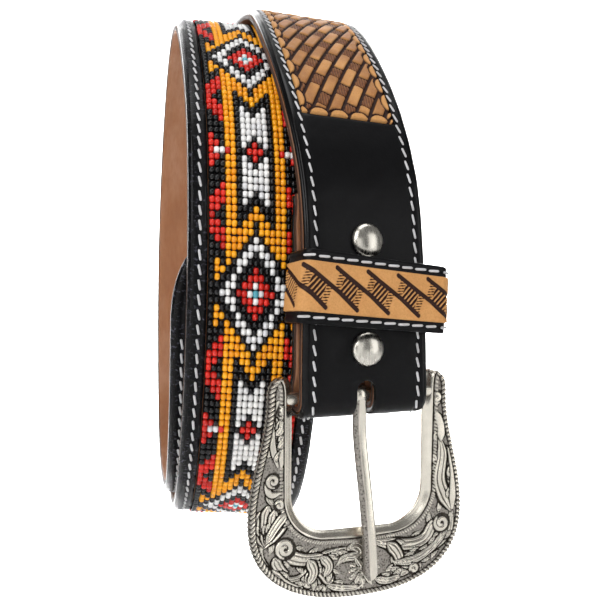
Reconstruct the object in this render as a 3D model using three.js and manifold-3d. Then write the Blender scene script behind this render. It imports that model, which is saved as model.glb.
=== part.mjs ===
// Beaded western belt, rolled up in a little over two turns and hung from the top of the roll.
// Millimetres, +Z up. X runs along the roll's axis, the belt's front faces -Y,
// and the origin is the top of the roll's inner face, where a peg carries it.
import * as THREE from 'three';
import { mergeVertices } from 'three/addons/utils/BufferGeometryUtils.js';
import Module from 'manifold-3d';

const wasm = await Module();
wasm.setup();

// Strap leather
const strapWidth = 38.1;
const faceThickness = 1.9;
const liningThickness = 1.4;
const fitGap = 0.3;
const edgeChamfer = 0.45;

// Roll
const coilRadius = 77;
const turnPitch = 5;
const beltLength = 1027.7;
const tipLength = 24;
const tipNose = 7;
const stationStep = 12;
const flapStep = 4.5;
const bendStep = 2.4;
const tipStep = 3.4;

// Buckle end: bar, fold, flap, rivets and keeper
const barAngle = -26.35;
const barRadius = 1.9;
const barClearance = 0.35;
const flapLength = 57;
const flapCloseLength = 7;
const slotWidth = 5.4;
const slotRise = 4.8;
const slotBackRise = 7.2;
const lowerRivetAt = 13.8;
const rivetSpacing = 30;
const rivetCapRadius = 4.4;
const rivetCapHeight = 2.5;
const rivetPostRadius = 1.5;
const rivetBackRadius = 3.6;
const rivetBackHeight = 0.8;
const rivetRimHeight = 0.5;
const rivetClearance = 0.5;
const capFootShare = 0.93;
const domeSteps = 5;
const keeperWidth = 18.8;
const keeperThickness = 1.9;
const keeperBackThickness = 1.3;
const keeperRoom = 5;
const keeperSideRoom = 3.4;
const keeperTilt = 4;
const keeperCorner = 2.4;
const keeperInlayHeight = 12.8;
const keeperInlayProud = 0.5;
const keeperInlayDrop = 10.5;
const keeperAside = -0.4;
const keeperInnerCorner = 0.6;
const keeperSpans = 5;

// Windows in the face leather and what fills them
const windowGap = 12;
const beadWindowWidth = 27.2;
const beadWindowLength = 464;
const beadProud = 0.55;
const toolWindowWidth = 29.8;
const toolBuckleStart = 81.8;
const toolBuckleLength = 158.2;
const toolTipLength = 118;
const toolProud = 0.35;

// Belt holes
const holeRadius = 2.6;
const holeSpacing = 25.4;
const holeCount = 5;
const roundSides = 12;
const middleHoleAt = 914.4;

// Buckle
const frameLean = -4;
const windowHalfWidth = 20.3;
const windowDepth = 40;
const windowCorner = 11;
const barSeat = 2.5;
const armTopHalfWidth = 27.4;
const armTopReach = 6;
const frameHalfWidth = 32.8;
const frameDepth = 57.9;
const widestAt = 34;
const frameRoundness = 2.39;
const armShare = 0.27;
const frameThickness = 4.4;
const frameBack = -1.6;
const ropeDepth = 0.35;
const scrollRise = 0.5;
const scrollCount = 9;
const vineMiddle = 0.52;
const vineSwing = 0.16;
const leafShare = 0.2;
const frameRows = 70;
const armTopRows = 4;
const prongWidth = 3.4;
const prongThickness = 2.4;
const prongLength = 53.5;
const prongLoopWall = 1.5;
const prongLoopGap = 0.3;
const prongAside = -0.6;
const prongSkew = 5;
const prongTipWidth = 3.6;
const prongSides = 10;
const prongRows = 16;
const prongFoot = 0.02;
const tipRounding = 0.05;
const tipBlunt = 0.45;
const squareness = 0.7;

const strapThickness = faceThickness + fitGap + liningThickness;
const halfWidth = strapWidth / 2;
const bendRadius = barRadius + barClearance + strapThickness;
const toolBuckleEnd = toolBuckleStart + toolBuckleLength;
const beadStart = toolBuckleEnd + windowGap;
const beadEnd = beadStart + beadWindowLength;
const toolTipStart = beadEnd + windowGap;
const toolTipEnd = toolTipStart + toolTipLength;
const degree = Math.PI / 180;

// Outline of the roll: radius of the beaded turn round the roll's centre, as a share of coilRadius.
// Angle 0 is the front, 90 the top, 180 the back.
const coilOutline = [
  { angle: 0, radius: 0.925 },
  { angle: 30, radius: 0.925 },
  { angle: 60, radius: 0.925 },
  { angle: 90, radius: 1.008 },
  { angle: 120, radius: 1.052 },
  { angle: 150, radius: 1.005 },
  { angle: 180, radius: 0.978 },
  { angle: 210, radius: 1.001 },
  { angle: 240, radius: 1.066 },
  { angle: 270, radius: 1.057 },
  { angle: 300, radius: 1.06 },
  { angle: 330, radius: 0.996 },
];

// Route of the strap round the roll, from the buckle end (outside) to the tip (inside).
// across is a share of strapWidth, lift a share of turnPitch, yaw and tilt are degrees.
const strapRoute = [
  { angle: -45, across: 0.928, lift: 3.45, yaw: 14.3, tilt: 6.5 },
  { angle: -20, across: 0.829, lift: 1.9, yaw: 14.8, tilt: 4 },
  { angle: 5, across: 0.778, lift: 1.28, yaw: 19.2, tilt: 0.5 },
  { angle: 17, across: 0.737, lift: 1.15, yaw: 18.6, tilt: 0 },
  { angle: 30, across: 0.665, lift: 1.06, yaw: 17.5, tilt: 0 },
  { angle: 60, across: 0.528, lift: 0.96, yaw: 16.4, tilt: 0 },
  { angle: 90, across: 0.46, lift: 0.94, yaw: 16, tilt: 0 },
  { angle: 120, across: 0.373, lift: 1.34, yaw: 11, tilt: 0 },
  { angle: 180, across: 0.19, lift: 1.24, yaw: 5.5, tilt: 0 },
  { angle: 270, across: 0.084, lift: 0.26, yaw: 3.8, tilt: 0 },
  { angle: 360, across: 0, lift: 0, yaw: 3.6, tilt: 0 },
  { angle: 450, across: -0.121, lift: -0.02, yaw: 3.8, tilt: 0 },
  { angle: 540, across: -0.08, lift: -0.2, yaw: 2.8, tilt: 0 },
  { angle: 630, across: 0.01, lift: -0.86, yaw: 1.8, tilt: 0 },
  { angle: 720, across: -0.113, lift: -1.05, yaw: 0.8, tilt: 0 },
  { angle: 770, across: -0.16, lift: -1.05, yaw: 0, tilt: 0 },
];

// Natural cubic spline through (xs, ys).
function spline(xs, ys) {
  const n = xs.length;
  const second = new Array(n).fill(0);
  const ratio = new Array(n).fill(0);
  for (let i = 1; i < n - 1; i++) {
    const share = (xs[i] - xs[i - 1]) / (xs[i + 1] - xs[i - 1]);
    const pivot = share * second[i - 1] + 2;
    const slopeAfter = (ys[i + 1] - ys[i]) / (xs[i + 1] - xs[i]);
    const slopeBefore = (ys[i] - ys[i - 1]) / (xs[i] - xs[i - 1]);
    second[i] = (share - 1) / pivot;
    ratio[i] = ((6 * (slopeAfter - slopeBefore)) / (xs[i + 1] - xs[i - 1]) - share * ratio[i - 1]) / pivot;
  }
  for (let i = n - 2; i >= 0; i--) second[i] = second[i] * second[i + 1] + ratio[i];
  return (x) => {
    let low = 0;
    while (low < n - 2 && xs[low + 1] < x) low++;
    const span = xs[low + 1] - xs[low];
    const a = (xs[low + 1] - x) / span;
    const b = (x - xs[low]) / span;
    const bend = (a ** 3 - a) * second[low] + (b ** 3 - b) * second[low + 1];
    return a * ys[low] + b * ys[low + 1] + (bend * span * span) / 6;
  };
}

const outlineRows = [-360, 0, 360].flatMap((turn) =>
  coilOutline.map((row) => ({ angle: row.angle + turn, radius: row.radius })));
const outlineShare = spline(outlineRows.map((row) => row.angle), outlineRows.map((row) => row.radius));
const routeAngles = strapRoute.map((row) => row.angle);
const routeColumn = (name) => spline(routeAngles, strapRoute.map((row) => row[name]));
const acrossAt = routeColumn('across');
const liftAt = routeColumn('lift');
const yawAt = routeColumn('yaw');
const tiltAt = routeColumn('tilt');

// Outer surface of the strap's middle line at a route angle, with the roll's centre as origin.
function coilPoint(angle) {
  const local = ((angle % 360) + 360) % 360;
  const radius = outlineShare(local) * coilRadius + liftAt(angle) * turnPitch;
  return new THREE.Vector3(
    acrossAt(angle) * strapWidth,
    -radius * Math.cos(angle * degree),
    radius * Math.sin(angle * degree),
  );
}

// The hang point: the highest point of the second turn's inner face, at its middle line.
const hangAngle = 458;
const hangTop = coilPoint(hangAngle);
const coilCentre = new THREE.Vector3(-hangTop.x, -hangTop.y, strapThickness - hangTop.z);

function coilFrame(angle) {
  const step = 0.5;
  const along = coilPoint(angle + step).sub(coilPoint(angle - step)).normalize();
  const yaw = yawAt(angle) * degree;
  const tilt = tiltAt(angle) * degree;
  const across = new THREE.Vector3(
    Math.cos(yaw) * Math.cos(tilt),
    Math.sin(yaw) * Math.cos(tilt),
    Math.sin(tilt),
  );
  const outward = new THREE.Vector3().crossVectors(across, along).normalize();
  return { point: coilPoint(angle).add(coilCentre), across, outward };
}

// Route angle at each millimetre of the strap, measured from the bar.
const angleStep = 0.25;
const arcTable = [{ s: 0, angle: barAngle }];
while (arcTable[arcTable.length - 1].s < beltLength) {
  const last = arcTable[arcTable.length - 1];
  const angle = last.angle + angleStep;
  arcTable.push({ s: last.s + coilPoint(angle).distanceTo(coilPoint(last.angle)), angle });
}
function routeAngleAt(s) {
  let low = 0;
  let high = arcTable.length - 1;
  while (high - low > 1) {
    const mid = (low + high) >> 1;
    if (arcTable[mid].s < s) low = mid;
    else high = mid;
  }
  const share = (s - arcTable[low].s) / (arcTable[high].s - arcTable[low].s);
  return arcTable[low].angle + share * angleStep;
}

// Frame of the buckle end at the bar: up the strap, across it, and outward.
const barEnd = coilFrame(barAngle);
const barUp = new THREE.Vector3().crossVectors(barEnd.outward, barEnd.across).normalize();
const barCentre = barEnd.point.clone().addScaledVector(barEnd.outward, -bendRadius);

const bendLength = Math.PI * bendRadius;
const keeperAt = lowerRivetAt + rivetSpacing / 2;
const smoothstep = (x) => {
  const t = Math.min(Math.max(x, 0), 1);
  return t * t * (3 - 2 * t);
};

// How far the flap's outer face lies behind the strap's outer face, at a height above the bar.
// It closes in from the bend, keeps the keeper's thickness clear up to the upper rivet, then lies flat.
function flapOffset(height) {
  const closed = 2 * strapThickness + fitGap;
  const overKeeper = closed + keeperBackThickness + fitGap;
  const open = 2 * bendRadius;
  const rivetSpace = rivetBackRadius + rivetClearance;
  const fromBar = 1 - smoothstep(height / (lowerRivetAt - rivetSpace));
  const closing = smoothstep((height - lowerRivetAt - rivetSpacing - rivetSpace) / flapCloseLength);
  return overKeeper + (open - overKeeper) * fromBar + (closed - overKeeper) * closing;
}

// Outer face of the strap at s millimetres from the bar. Negative s goes round the bar and up the flap.
function strapFrame(s) {
  if (s >= 0) return coilFrame(routeAngleAt(s));
  const { across, outward } = barEnd;
  if (s >= -bendLength) {
    const turn = -s / bendRadius;
    const radial = outward.clone().multiplyScalar(Math.cos(turn)).addScaledVector(barUp, -Math.sin(turn));
    return { point: barCentre.clone().addScaledVector(radial, bendRadius), across, outward: radial };
  }
  const height = -s - bendLength;
  const front = coilFrame(routeAngleAt(height));
  const slope = flapOffset(height + 0.5) - flapOffset(height - 0.5);
  const up = new THREE.Vector3().crossVectors(front.outward, front.across).normalize();
  const back = front.outward.clone().multiplyScalar(-1).addScaledVector(up, -slope).normalize();
  const behind = front.point.clone().addScaledVector(front.outward, -flapOffset(height));
  return { point: behind, across: front.across, outward: back };
}

// Point of the strap: s along it, w across it, n outward from its outer face.
function strapPoint(s, w, n) {
  const frame = strapFrame(s);
  return frame.point.clone().addScaledVector(frame.across, w).addScaledVector(frame.outward, n);
}

// Half width of the strap near its rounded tip.
function tipShare(s) {
  const left = beltLength - s;
  if (left >= tipLength) return 1;
  const t = 1 - left / tipLength;
  const nose = tipNose / halfWidth;
  return nose + (1 - nose) * Math.sqrt(1 - t * t);
}

// Stations along the strap: close ones where it turns tightly, with every wanted edge among them.
function stations(start, end, edges) {
  const inside = edges.filter((e) => e > start && e < end);
  const marks = [...new Set([start, ...inside, end])].sort((a, b) => a - b);
  const list = [];
  for (let i = 0; i < marks.length - 1; i++) {
    const span = marks[i + 1] - marks[i];
    const middle = (marks[i] + marks[i + 1]) / 2;
    let step = stationStep;
    if (middle < flapLength) step = flapStep;
    if (middle > -bendLength && middle < 0) step = bendStep;
    if (middle > beltLength - tipLength) step = tipStep;
    const count = Math.max(1, Math.round(span / step));
    for (let k = 0; k < count; k++) list.push(marks[i] + (span * k) / count);
  }
  list.push(end);
  return list;
}

// A leather layer: a sheet between depths top and bottom, cut into columns, with cells left out for
// windows. The long edges are chamfered when edge is above 0.
function layerGeometry({ rows, columns, top, bottom, solid, edge = 0, halfAt = () => halfWidth }) {
  const positions = [];
  const indices = [];
  const keys = new Map();
  const vertex = (i, j, level) => {
    const key = `${i},${j},${level}`;
    if (keys.has(key)) return keys.get(key);
    const outer = j === 0 || j === columns.length - 1;
    const share = halfAt(rows[i]) / halfWidth;
    const side = outer && edge > 0 && level !== 'mid' ? Math.sign(columns[j]) * edge : 0;
    const w = columns[j] * share - side;
    const n = level === 'top' ? top : level === 'bottom' ? bottom : (top + bottom) / 2;
    const p = strapPoint(rows[i], w, n);
    positions.push(p.x, p.y, p.z);
    keys.set(key, positions.length / 3 - 1);
    return keys.get(key);
  };
  const quad = (a, b, c, d) => indices.push(a, b, c, a, c, d);
  const filled = (i, j) => i >= 0 && j >= 0 && i < rows.length - 1 && j < columns.length - 1 && solid(
    (rows[i] + rows[i + 1]) / 2, (columns[j] + columns[j + 1]) / 2);
  for (let i = 0; i < rows.length - 1; i++) {
    for (let j = 0; j < columns.length - 1; j++) {
      if (!filled(i, j)) continue;
      const corner = (di, dj, level) => vertex(i + di, j + dj, level);
      quad(corner(0, 0, 'top'), corner(0, 1, 'top'), corner(1, 1, 'top'), corner(1, 0, 'top'));
      quad(corner(0, 0, 'bottom'), corner(1, 0, 'bottom'), corner(1, 1, 'bottom'), corner(0, 1, 'bottom'));
      const outerLeft = j === 0 && edge > 0;
      const outerRight = j === columns.length - 2 && edge > 0;
      if (outerLeft) {
        quad(corner(0, 0, 'top'), corner(1, 0, 'top'), corner(1, 0, 'mid'), corner(0, 0, 'mid'));
        quad(corner(0, 0, 'mid'), corner(1, 0, 'mid'), corner(1, 0, 'bottom'), corner(0, 0, 'bottom'));
      } else if (!filled(i, j - 1)) {
        quad(corner(0, 0, 'top'), corner(1, 0, 'top'), corner(1, 0, 'bottom'), corner(0, 0, 'bottom'));
      }
      if (outerRight) {
        quad(corner(0, 1, 'top'), corner(0, 1, 'mid'), corner(1, 1, 'mid'), corner(1, 1, 'top'));
        quad(corner(0, 1, 'mid'), corner(0, 1, 'bottom'), corner(1, 1, 'bottom'), corner(1, 1, 'mid'));
      } else if (!filled(i, j + 1)) {
        quad(corner(0, 1, 'top'), corner(0, 1, 'bottom'), corner(1, 1, 'bottom'), corner(1, 1, 'top'));
      }
      const endCap = (di, flip) => {
        const ring = [corner(di, 0, 'top')];
        if (outerLeft) ring.push(corner(di, 0, 'mid'));
        ring.push(corner(di, 0, 'bottom'), corner(di, 1, 'bottom'));
        if (outerRight) ring.push(corner(di, 1, 'mid'));
        ring.push(corner(di, 1, 'top'));
        if (flip) ring.reverse();
        for (let k = 1; k < ring.length - 1; k++) indices.push(ring[0], ring[k], ring[k + 1]);
      };
      if (!filled(i - 1, j)) endCap(0, false);
      if (!filled(i + 1, j)) endCap(1, true);
    }
  }
  const geometry = new THREE.BufferGeometry();
  geometry.setAttribute('position', new THREE.Float32BufferAttribute(positions, 3));
  geometry.setIndex(indices);
  return geometry;
}

// Geometry to solid and back, for joins and cuts.
function toSolid(geometry, matrix) {
  const bare = geometry.clone();
  bare.deleteAttribute('normal');
  bare.deleteAttribute('uv');
  if (matrix) bare.applyMatrix4(matrix);
  const merged = mergeVertices(bare, 1e-4);
  return new wasm.Manifold(new wasm.Mesh({
    numProp: 3,
    vertProperties: new Float32Array(merged.attributes.position.array),
    triVerts: new Uint32Array(merged.index.array),
  }));
}

function toGeometry(solid) {
  const mesh = solid.getMesh();
  const geometry = new THREE.BufferGeometry();
  geometry.setAttribute('position', new THREE.BufferAttribute(new Float32Array(mesh.vertProperties), 3));
  geometry.setIndex(new THREE.BufferAttribute(new Uint32Array(mesh.triVerts), 1));
  return geometry;
}

// Placement with local X across the strap, Y up it and Z outward, at s along the strap.
function strapPlacement(s) {
  const frame = strapFrame(s);
  const up = new THREE.Vector3().crossVectors(frame.outward, frame.across).normalize();
  return new THREE.Matrix4().makeBasis(
    new THREE.Vector3().crossVectors(up, frame.outward), up, frame.outward,
  ).setPosition(frame.point);
}

// A round cutter through the strap at s, standing along the strap's outward direction.
function roundCutter(s, radius, depth) {
  const cutter = new THREE.CylinderGeometry(radius, radius, depth, roundSides);
  cutter.rotateX(Math.PI / 2);
  return toSolid(cutter, strapPlacement(s));
}

const rivetStations = [lowerRivetAt, lowerRivetAt + rivetSpacing];
const holeStations = Array.from({ length: holeCount }, (_, k) =>
  middleHoleAt + (k - (holeCount - 1) / 2) * holeSpacing);
const rivetHoleRadius = rivetPostRadius + fitGap;
const rivetCutters = rivetStations.map((s) => roundCutter(s, rivetHoleRadius, 6 * strapThickness));
const holeCutters = holeStations.map((s) => roundCutter(s, holeRadius, 3 * strapThickness));

const flapEnd = -bendLength - flapLength;
const slotStart = -bendLength - slotBackRise;
const cutMargin = 1;
const strapMarks = [-bendLength, 0, flapLength, toolBuckleStart, toolBuckleEnd, beadStart, beadEnd,
  toolTipStart, toolTipEnd, beltLength - tipLength];

// Cuts the rivet holes, the belt holes and the slot for the prong through a leather layer.
function pierce(geometry) {
  const slot = layerGeometry({
    rows: stations(slotStart, slotRise, [-bendLength, 0]),
    columns: [-slotWidth / 2, slotWidth / 2],
    top: cutMargin,
    bottom: -strapThickness - cutMargin,
    solid: () => true,
  });
  const cutters = [...rivetCutters, ...holeCutters, toSolid(slot)];
  return toGeometry(cutters.reduce((body, cutter) => body.subtract(cutter), toSolid(geometry)));
}

// Face leather, with its windows.
function strapFace() {
  const toolHalf = toolWindowWidth / 2;
  const beadHalf = beadWindowWidth / 2;
  const columns = [-halfWidth, -toolHalf, -beadHalf, beadHalf, toolHalf, halfWidth];
  const inTool = (s) => (s > toolBuckleStart && s < toolBuckleEnd) || (s > toolTipStart && s < toolTipEnd);
  const inBeads = (s) => s > beadStart && s < beadEnd;
  const solid = (s, w) => !(inTool(s) && Math.abs(w) < toolHalf) && !(inBeads(s) && Math.abs(w) < beadHalf);
  return pierce(layerGeometry({ rows: stations(flapEnd, beltLength, strapMarks), columns, top: 0,
    bottom: -faceThickness, solid, edge: edgeChamfer, halfAt: (s) => halfWidth * tipShare(s) }));
}

// Lining leather under the face, all the way round the bar and up the flap.
function strapLining() {
  return pierce(layerGeometry({ rows: stations(flapEnd, beltLength, strapMarks),
    columns: [-halfWidth, halfWidth], top: -faceThickness - fitGap, bottom: -strapThickness,
    solid: () => true, halfAt: (s) => halfWidth * tipShare(s) }));
}

// A band that fills a window of the face leather and stands a little proud of it.
function windowBand(start, end, windowWidth, proud) {
  const half = windowWidth / 2 - fitGap;
  const rows = stations(start + fitGap, end - fitGap, []);
  return layerGeometry({ rows, columns: [-half, half], top: proud,
    bottom: -faceThickness, solid: () => true, edge: 0, halfAt: () => halfWidth });
}

// Keeper: a loop round the strap, with its back between the strap and the flap.
const keeperSide = halfWidth + keeperSideRoom;
const keeperBackOuter = -strapThickness - fitGap;

function roundedLoop(halfSpan, low, high, corner, reverse) {
  const shape = reverse ? new THREE.Path() : new THREE.Shape();
  const flat = halfSpan - corner;
  const straight = (from, to, height) => {
    for (let k = 1; k <= keeperSpans; k++) shape.lineTo(from + ((to - from) * k) / keeperSpans, height);
  };
  shape.moveTo(-flat, low);
  straight(-flat, flat, low);
  shape.absarc(flat, low + corner, corner, -Math.PI / 2, 0, false);
  shape.lineTo(halfSpan, high - corner);
  shape.absarc(flat, high - corner, corner, 0, Math.PI / 2, false);
  straight(flat, -flat, high);
  shape.absarc(-flat, high - corner, corner, Math.PI / 2, Math.PI, false);
  shape.lineTo(-halfSpan, low + corner);
  shape.absarc(-flat, low + corner, corner, Math.PI, 1.5 * Math.PI, false);
  return shape;
}

// Bends a flat piece (X across the strap, Y up it, Z outward) so that it follows the strap at keeperAt,
// turned clockwise by keeperTilt.
function bendToStrap(geometry) {
  const points = geometry.attributes.position;
  const turn = keeperTilt * degree;
  for (let i = 0; i < points.count; i++) {
    const x = points.getX(i) + keeperAside;
    const y = points.getY(i);
    const s = keeperAt + y * Math.cos(turn) - x * Math.sin(turn);
    const w = x * Math.cos(turn) + y * Math.sin(turn);
    const p = strapPoint(s, w, points.getZ(i));
    points.setXYZ(i, p.x, p.y, p.z);
  }
  return geometry;
}

function keeperBand() {
  const outer = roundedLoop(keeperSide, keeperBackOuter - keeperBackThickness,
    keeperRoom + keeperThickness, keeperCorner, false);
  const inner = roundedLoop(keeperSide - keeperThickness, keeperBackOuter, keeperRoom,
    keeperInnerCorner, true);
  outer.holes.push(inner);
  const band = new THREE.ExtrudeGeometry(outer, {
    depth: keeperWidth, bevelEnabled: false, curveSegments: 3, steps: 4 });
  band.translate(0, 0, -keeperWidth / 2);
  band.rotateX(Math.PI / 2);
  return toGeometry(toSolid(bendToStrap(band)));
}

// The inlay lies over the loop's front and turns down both sides.
function keeperInlay() {
  const front = keeperRoom + keeperThickness;
  const low = front - keeperInlayDrop;
  const outline = (offset, forward) => {
    const side = keeperSide + offset;
    const corner = keeperCorner + offset;
    const points = [[side, low]];
    for (let k = 0; k <= 4; k++) {
      const turn = (k / 4) * (Math.PI / 2);
      points.push([side - corner * (1 - Math.cos(turn)), front + offset - corner * (1 - Math.sin(turn))]);
    }
    for (let k = 4; k >= 0; k--) {
      const turn = (k / 4) * (Math.PI / 2);
      points.push([-side + corner * (1 - Math.cos(turn)), front + offset - corner * (1 - Math.sin(turn))]);
    }
    points.push([-side, low]);
    return forward ? points : points.reverse();
  };
  const points = [...outline(fitGap + keeperInlayProud, true), ...outline(fitGap, false)];
  const shape = new THREE.Shape(points.map(([x, y]) => new THREE.Vector2(x, y)));
  const plate = new THREE.ExtrudeGeometry(shape, {
    depth: keeperInlayHeight, bevelEnabled: false, steps: 2 });
  plate.translate(0, 0, -keeperInlayHeight / 2);
  plate.rotateX(Math.PI / 2);
  return toGeometry(toSolid(bendToStrap(plate)));
}

// Set rivet: domed cap, post through every layer, and a flat back.
function rivet(s) {
  const backAt = -flapOffset(s) - fitGap;
  const capBase = fitGap;
  const domeHeight = rivetCapHeight - rivetRimHeight;
  const profile = [new THREE.Vector2(0, backAt - rivetBackHeight),
    new THREE.Vector2(rivetBackRadius, backAt - rivetBackHeight),
    new THREE.Vector2(rivetBackRadius, backAt),
    new THREE.Vector2(rivetPostRadius, backAt),
    new THREE.Vector2(rivetPostRadius, capBase),
    new THREE.Vector2(rivetCapRadius * capFootShare, capBase)];
  for (let k = 0; k <= domeSteps; k++) {
    const turn = (k / domeSteps) * (Math.PI / 2);
    const radius = k === domeSteps ? 0 : rivetCapRadius * Math.cos(turn);
    profile.push(new THREE.Vector2(radius, capBase + rivetRimHeight + domeHeight * Math.sin(turn)));
  }
  const lathe = new THREE.LatheGeometry(profile, roundSides + 2);
  lathe.rotateX(Math.PI / 2);
  return toGeometry(toSolid(lathe, strapPlacement(s)));
}

// Buckle: local X along the bar, Y down the frame, Z towards the front.
const down = new THREE.Vector3(0, 0, -1);
const barAcross = barEnd.across.clone().normalize();
const hangingDown = down.clone().addScaledVector(barAcross, -down.dot(barAcross)).normalize();
const hangingFront = new THREE.Vector3().crossVectors(barAcross, hangingDown).normalize().negate();
const lean = frameLean * degree;
const frameDown = hangingDown.clone().multiplyScalar(Math.cos(lean))
  .addScaledVector(hangingFront, Math.sin(lean));
const frameFront = new THREE.Vector3().crossVectors(frameDown, barAcross).normalize();
const bucklePlacement = new THREE.Matrix4().makeBasis(barAcross, frameDown.clone().negate(), frameFront)
  .setPosition(barCentre);

// Window edge of the frame by share of the way round it:
// 0 is the left arm's top, 0.5 the middle of the bottom, 1 the right arm's top.
function innerEdge(t) {
  const straight = windowDepth - windowCorner;
  const quarter = (Math.PI / 2) * windowCorner;
  const flat = windowHalfWidth - windowCorner;
  const half = straight + quarter + flat;
  const side = t < 0.5 ? -1 : 1;
  const left = 2 * half * Math.min(t, 1 - t);
  if (left <= straight) return [side * windowHalfWidth, left];
  if (left <= straight + quarter) {
    const turn = (left - straight) / windowCorner;
    return [side * (windowHalfWidth - windowCorner * (1 - Math.cos(turn))),
      straight + windowCorner * Math.sin(turn)];
  }
  return [side * (half - left), windowDepth];
}

// Outer edge: arms that widen to frameHalfWidth, then a superellipse round the bottom.
function outerEdge(t) {
  const side = t < 0.5 ? -1 : 1;
  const local = Math.min(t, 1 - t);
  if (local < armShare) {
    const share = local / armShare;
    const widening = (1 - Math.cos(share * Math.PI)) / 2;
    return [side * (armTopHalfWidth + (frameHalfWidth - armTopHalfWidth) * widening), widestAt * share];
  }
  const turn = ((local - armShare) / (0.5 - armShare)) * (Math.PI / 2);
  const power = 2 / frameRoundness;
  return [side * frameHalfWidth * Math.max(Math.cos(turn), 0) ** power,
    widestAt + (frameDepth - widestAt) * Math.sin(turn) ** power];
}

// Section of the frame. share runs from the window edge to the outer edge, rise from the back to the front
// as a share of frameThickness. The scroll relief lies on the rows that carry a scroll value.
const frameSection = [
  { share: 0, rise: 0.6, scroll: 0, rope: 0 },
  { share: 0.14, rise: 0.86, scroll: 0, rope: 0 },
  { share: 0.2, rise: 0.8, scroll: 0, rope: 0 },
  { share: 0.33, rise: 0.84, scroll: 1, rope: 0 },
  { share: 0.46, rise: 0.86, scroll: 1, rope: 0 },
  { share: 0.59, rise: 0.86, scroll: 1, rope: 0 },
  { share: 0.72, rise: 0.84, scroll: 1, rope: 0 },
  { share: 0.85, rise: 0.8, scroll: 0, rope: 0 },
  { share: 0.89, rise: 0.96, scroll: 0, rope: 1 },
  { share: 0.96, rise: 0.98, scroll: 0, rope: 1 },
  { share: 1, rise: 0.72, scroll: 0, rope: 1 },
  { share: 0.99, rise: 0.3, scroll: 0, rope: 0 },
  { share: 0.93, rise: 0, scroll: 0, rope: 0 },
  { share: 0.1, rise: 0, scroll: 0, rope: 0 },
];

// Rows of the frame: the rounded top of the left arm, the way round, the rounded top of the right arm.
function frameStations() {
  const topRow = (t, k) => {
    const turn = ((k / armTopRows) * Math.PI) / 2;
    return { t, raise: armTopReach * Math.sin(turn), width: Math.max(Math.cos(turn), 0.3) };
  };
  const rows = [];
  for (let k = armTopRows; k > 0; k--) rows.push(topRow(0, k));
  for (let i = 0; i <= frameRows; i++) rows.push({ t: i / frameRows, raise: 0, width: 1 });
  for (let k = 1; k <= armTopRows; k++) rows.push(topRow(1, k));
  return rows;
}

function buckleCasting() {
  const positions = [];
  const indices = [];
  const rows = frameStations();
  const ring = frameSection.length;
  rows.forEach(({ t, raise, width }, i) => {
    const inner = innerEdge(t);
    const outer = outerEdge(t);
    const vine = vineMiddle + vineSwing * Math.sin(scrollCount * 2 * Math.PI * t);
    frameSection.forEach(({ share, rise, scroll, rope }) => {
      const level = 0.5 + (share - 0.5) * width;
      const leaf = scroll * scrollRise * Math.max(0, 1 - Math.abs(share - vine) / leafShare);
      const strand = rope * (i % 2) * ropeDepth;
      positions.push(inner[0] + (outer[0] - inner[0]) * level,
        raise - inner[1] - (outer[1] - inner[1]) * level,
        frameBack + frameThickness * (rise * (0.75 + 0.25 * width)) + leaf - strand);
    });
  });
  for (let i = 0; i < rows.length - 1; i++) {
    for (let k = 0; k < ring; k++) {
      const next = (k + 1) % ring;
      const a = i * ring + k;
      const b = i * ring + next;
      const c = (i + 1) * ring + next;
      const d = (i + 1) * ring + k;
      indices.push(a, b, c, a, c, d);
    }
  }
  const last = (rows.length - 1) * ring;
  for (let k = 1; k < ring - 1; k++) {
    indices.push(0, k + 1, k);
    indices.push(last, last + k, last + k + 1);
  }
  const geometry = new THREE.BufferGeometry();
  geometry.setAttribute('position', new THREE.Float32BufferAttribute(positions, 3));
  geometry.setIndex(indices);
  return geometry;
}

function buckleFrame() {
  const barLength = 2 * (windowHalfWidth + barSeat);
  const bar = new THREE.CylinderGeometry(barRadius, barRadius, barLength, roundSides + 2);
  bar.rotateZ(Math.PI / 2);
  return toGeometry(toSolid(buckleCasting(), bucklePlacement).add(toSolid(bar, bucklePlacement)));
}

// Prong: a loop round the bar and a shank that dips below it and comes to rest on the frame.
// along is a share of prongLength, height a share of frameThickness in front of the bar's axis.
const prongRun = [
  { along: 0, height: 0.59 },
  { along: 0.14, height: 0.295 },
  { along: 0.45, height: 0.59 },
  { along: 0.78, height: 0.977 },
  { along: 1, height: 0.955 },
];
const prongHeightShare = spline(prongRun.map((row) => row.along), prongRun.map((row) => row.height));
function prongShank() {
  const positions = [];
  const indices = [];
  const drift = prongLength * Math.tan(prongSkew * degree);
  const squared = (x) => Math.sign(x) * Math.abs(x) ** squareness;
  for (let i = 0; i <= prongRows; i++) {
    const along = prongFoot + (i / prongRows) * (1 - prongFoot);
    const tip = Math.min(1, (1 - along) / tipRounding + tipBlunt);
    const width = (prongWidth + (prongTipWidth - prongWidth) * along) * tip;
    const thickness = prongThickness * Math.min(1, tip + 0.1);
    for (let k = 0; k < prongSides; k++) {
      const turn = ((k + 0.5) / prongSides) * 2 * Math.PI;
      positions.push(
        prongAside + along * drift + squared(Math.cos(turn)) * (width / 2),
        -along * prongLength,
        prongHeightShare(along) * frameThickness + squared(Math.sin(turn)) * (thickness / 2),
      );
    }
  }
  for (let i = 0; i < prongRows; i++) {
    for (let k = 0; k < prongSides; k++) {
      const a = i * prongSides + k;
      const b = i * prongSides + ((k + 1) % prongSides);
      indices.push(a, b + prongSides, a + prongSides, a, b, b + prongSides);
    }
  }
  const last = prongRows * prongSides;
  for (let k = 1; k < prongSides - 1; k++) {
    indices.push(0, k + 1, k);
    indices.push(last, last + k, last + k + 1);
  }
  const geometry = new THREE.BufferGeometry();
  geometry.setAttribute('position', new THREE.Float32BufferAttribute(positions, 3));
  geometry.setIndex(indices);
  return geometry;
}

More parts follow.
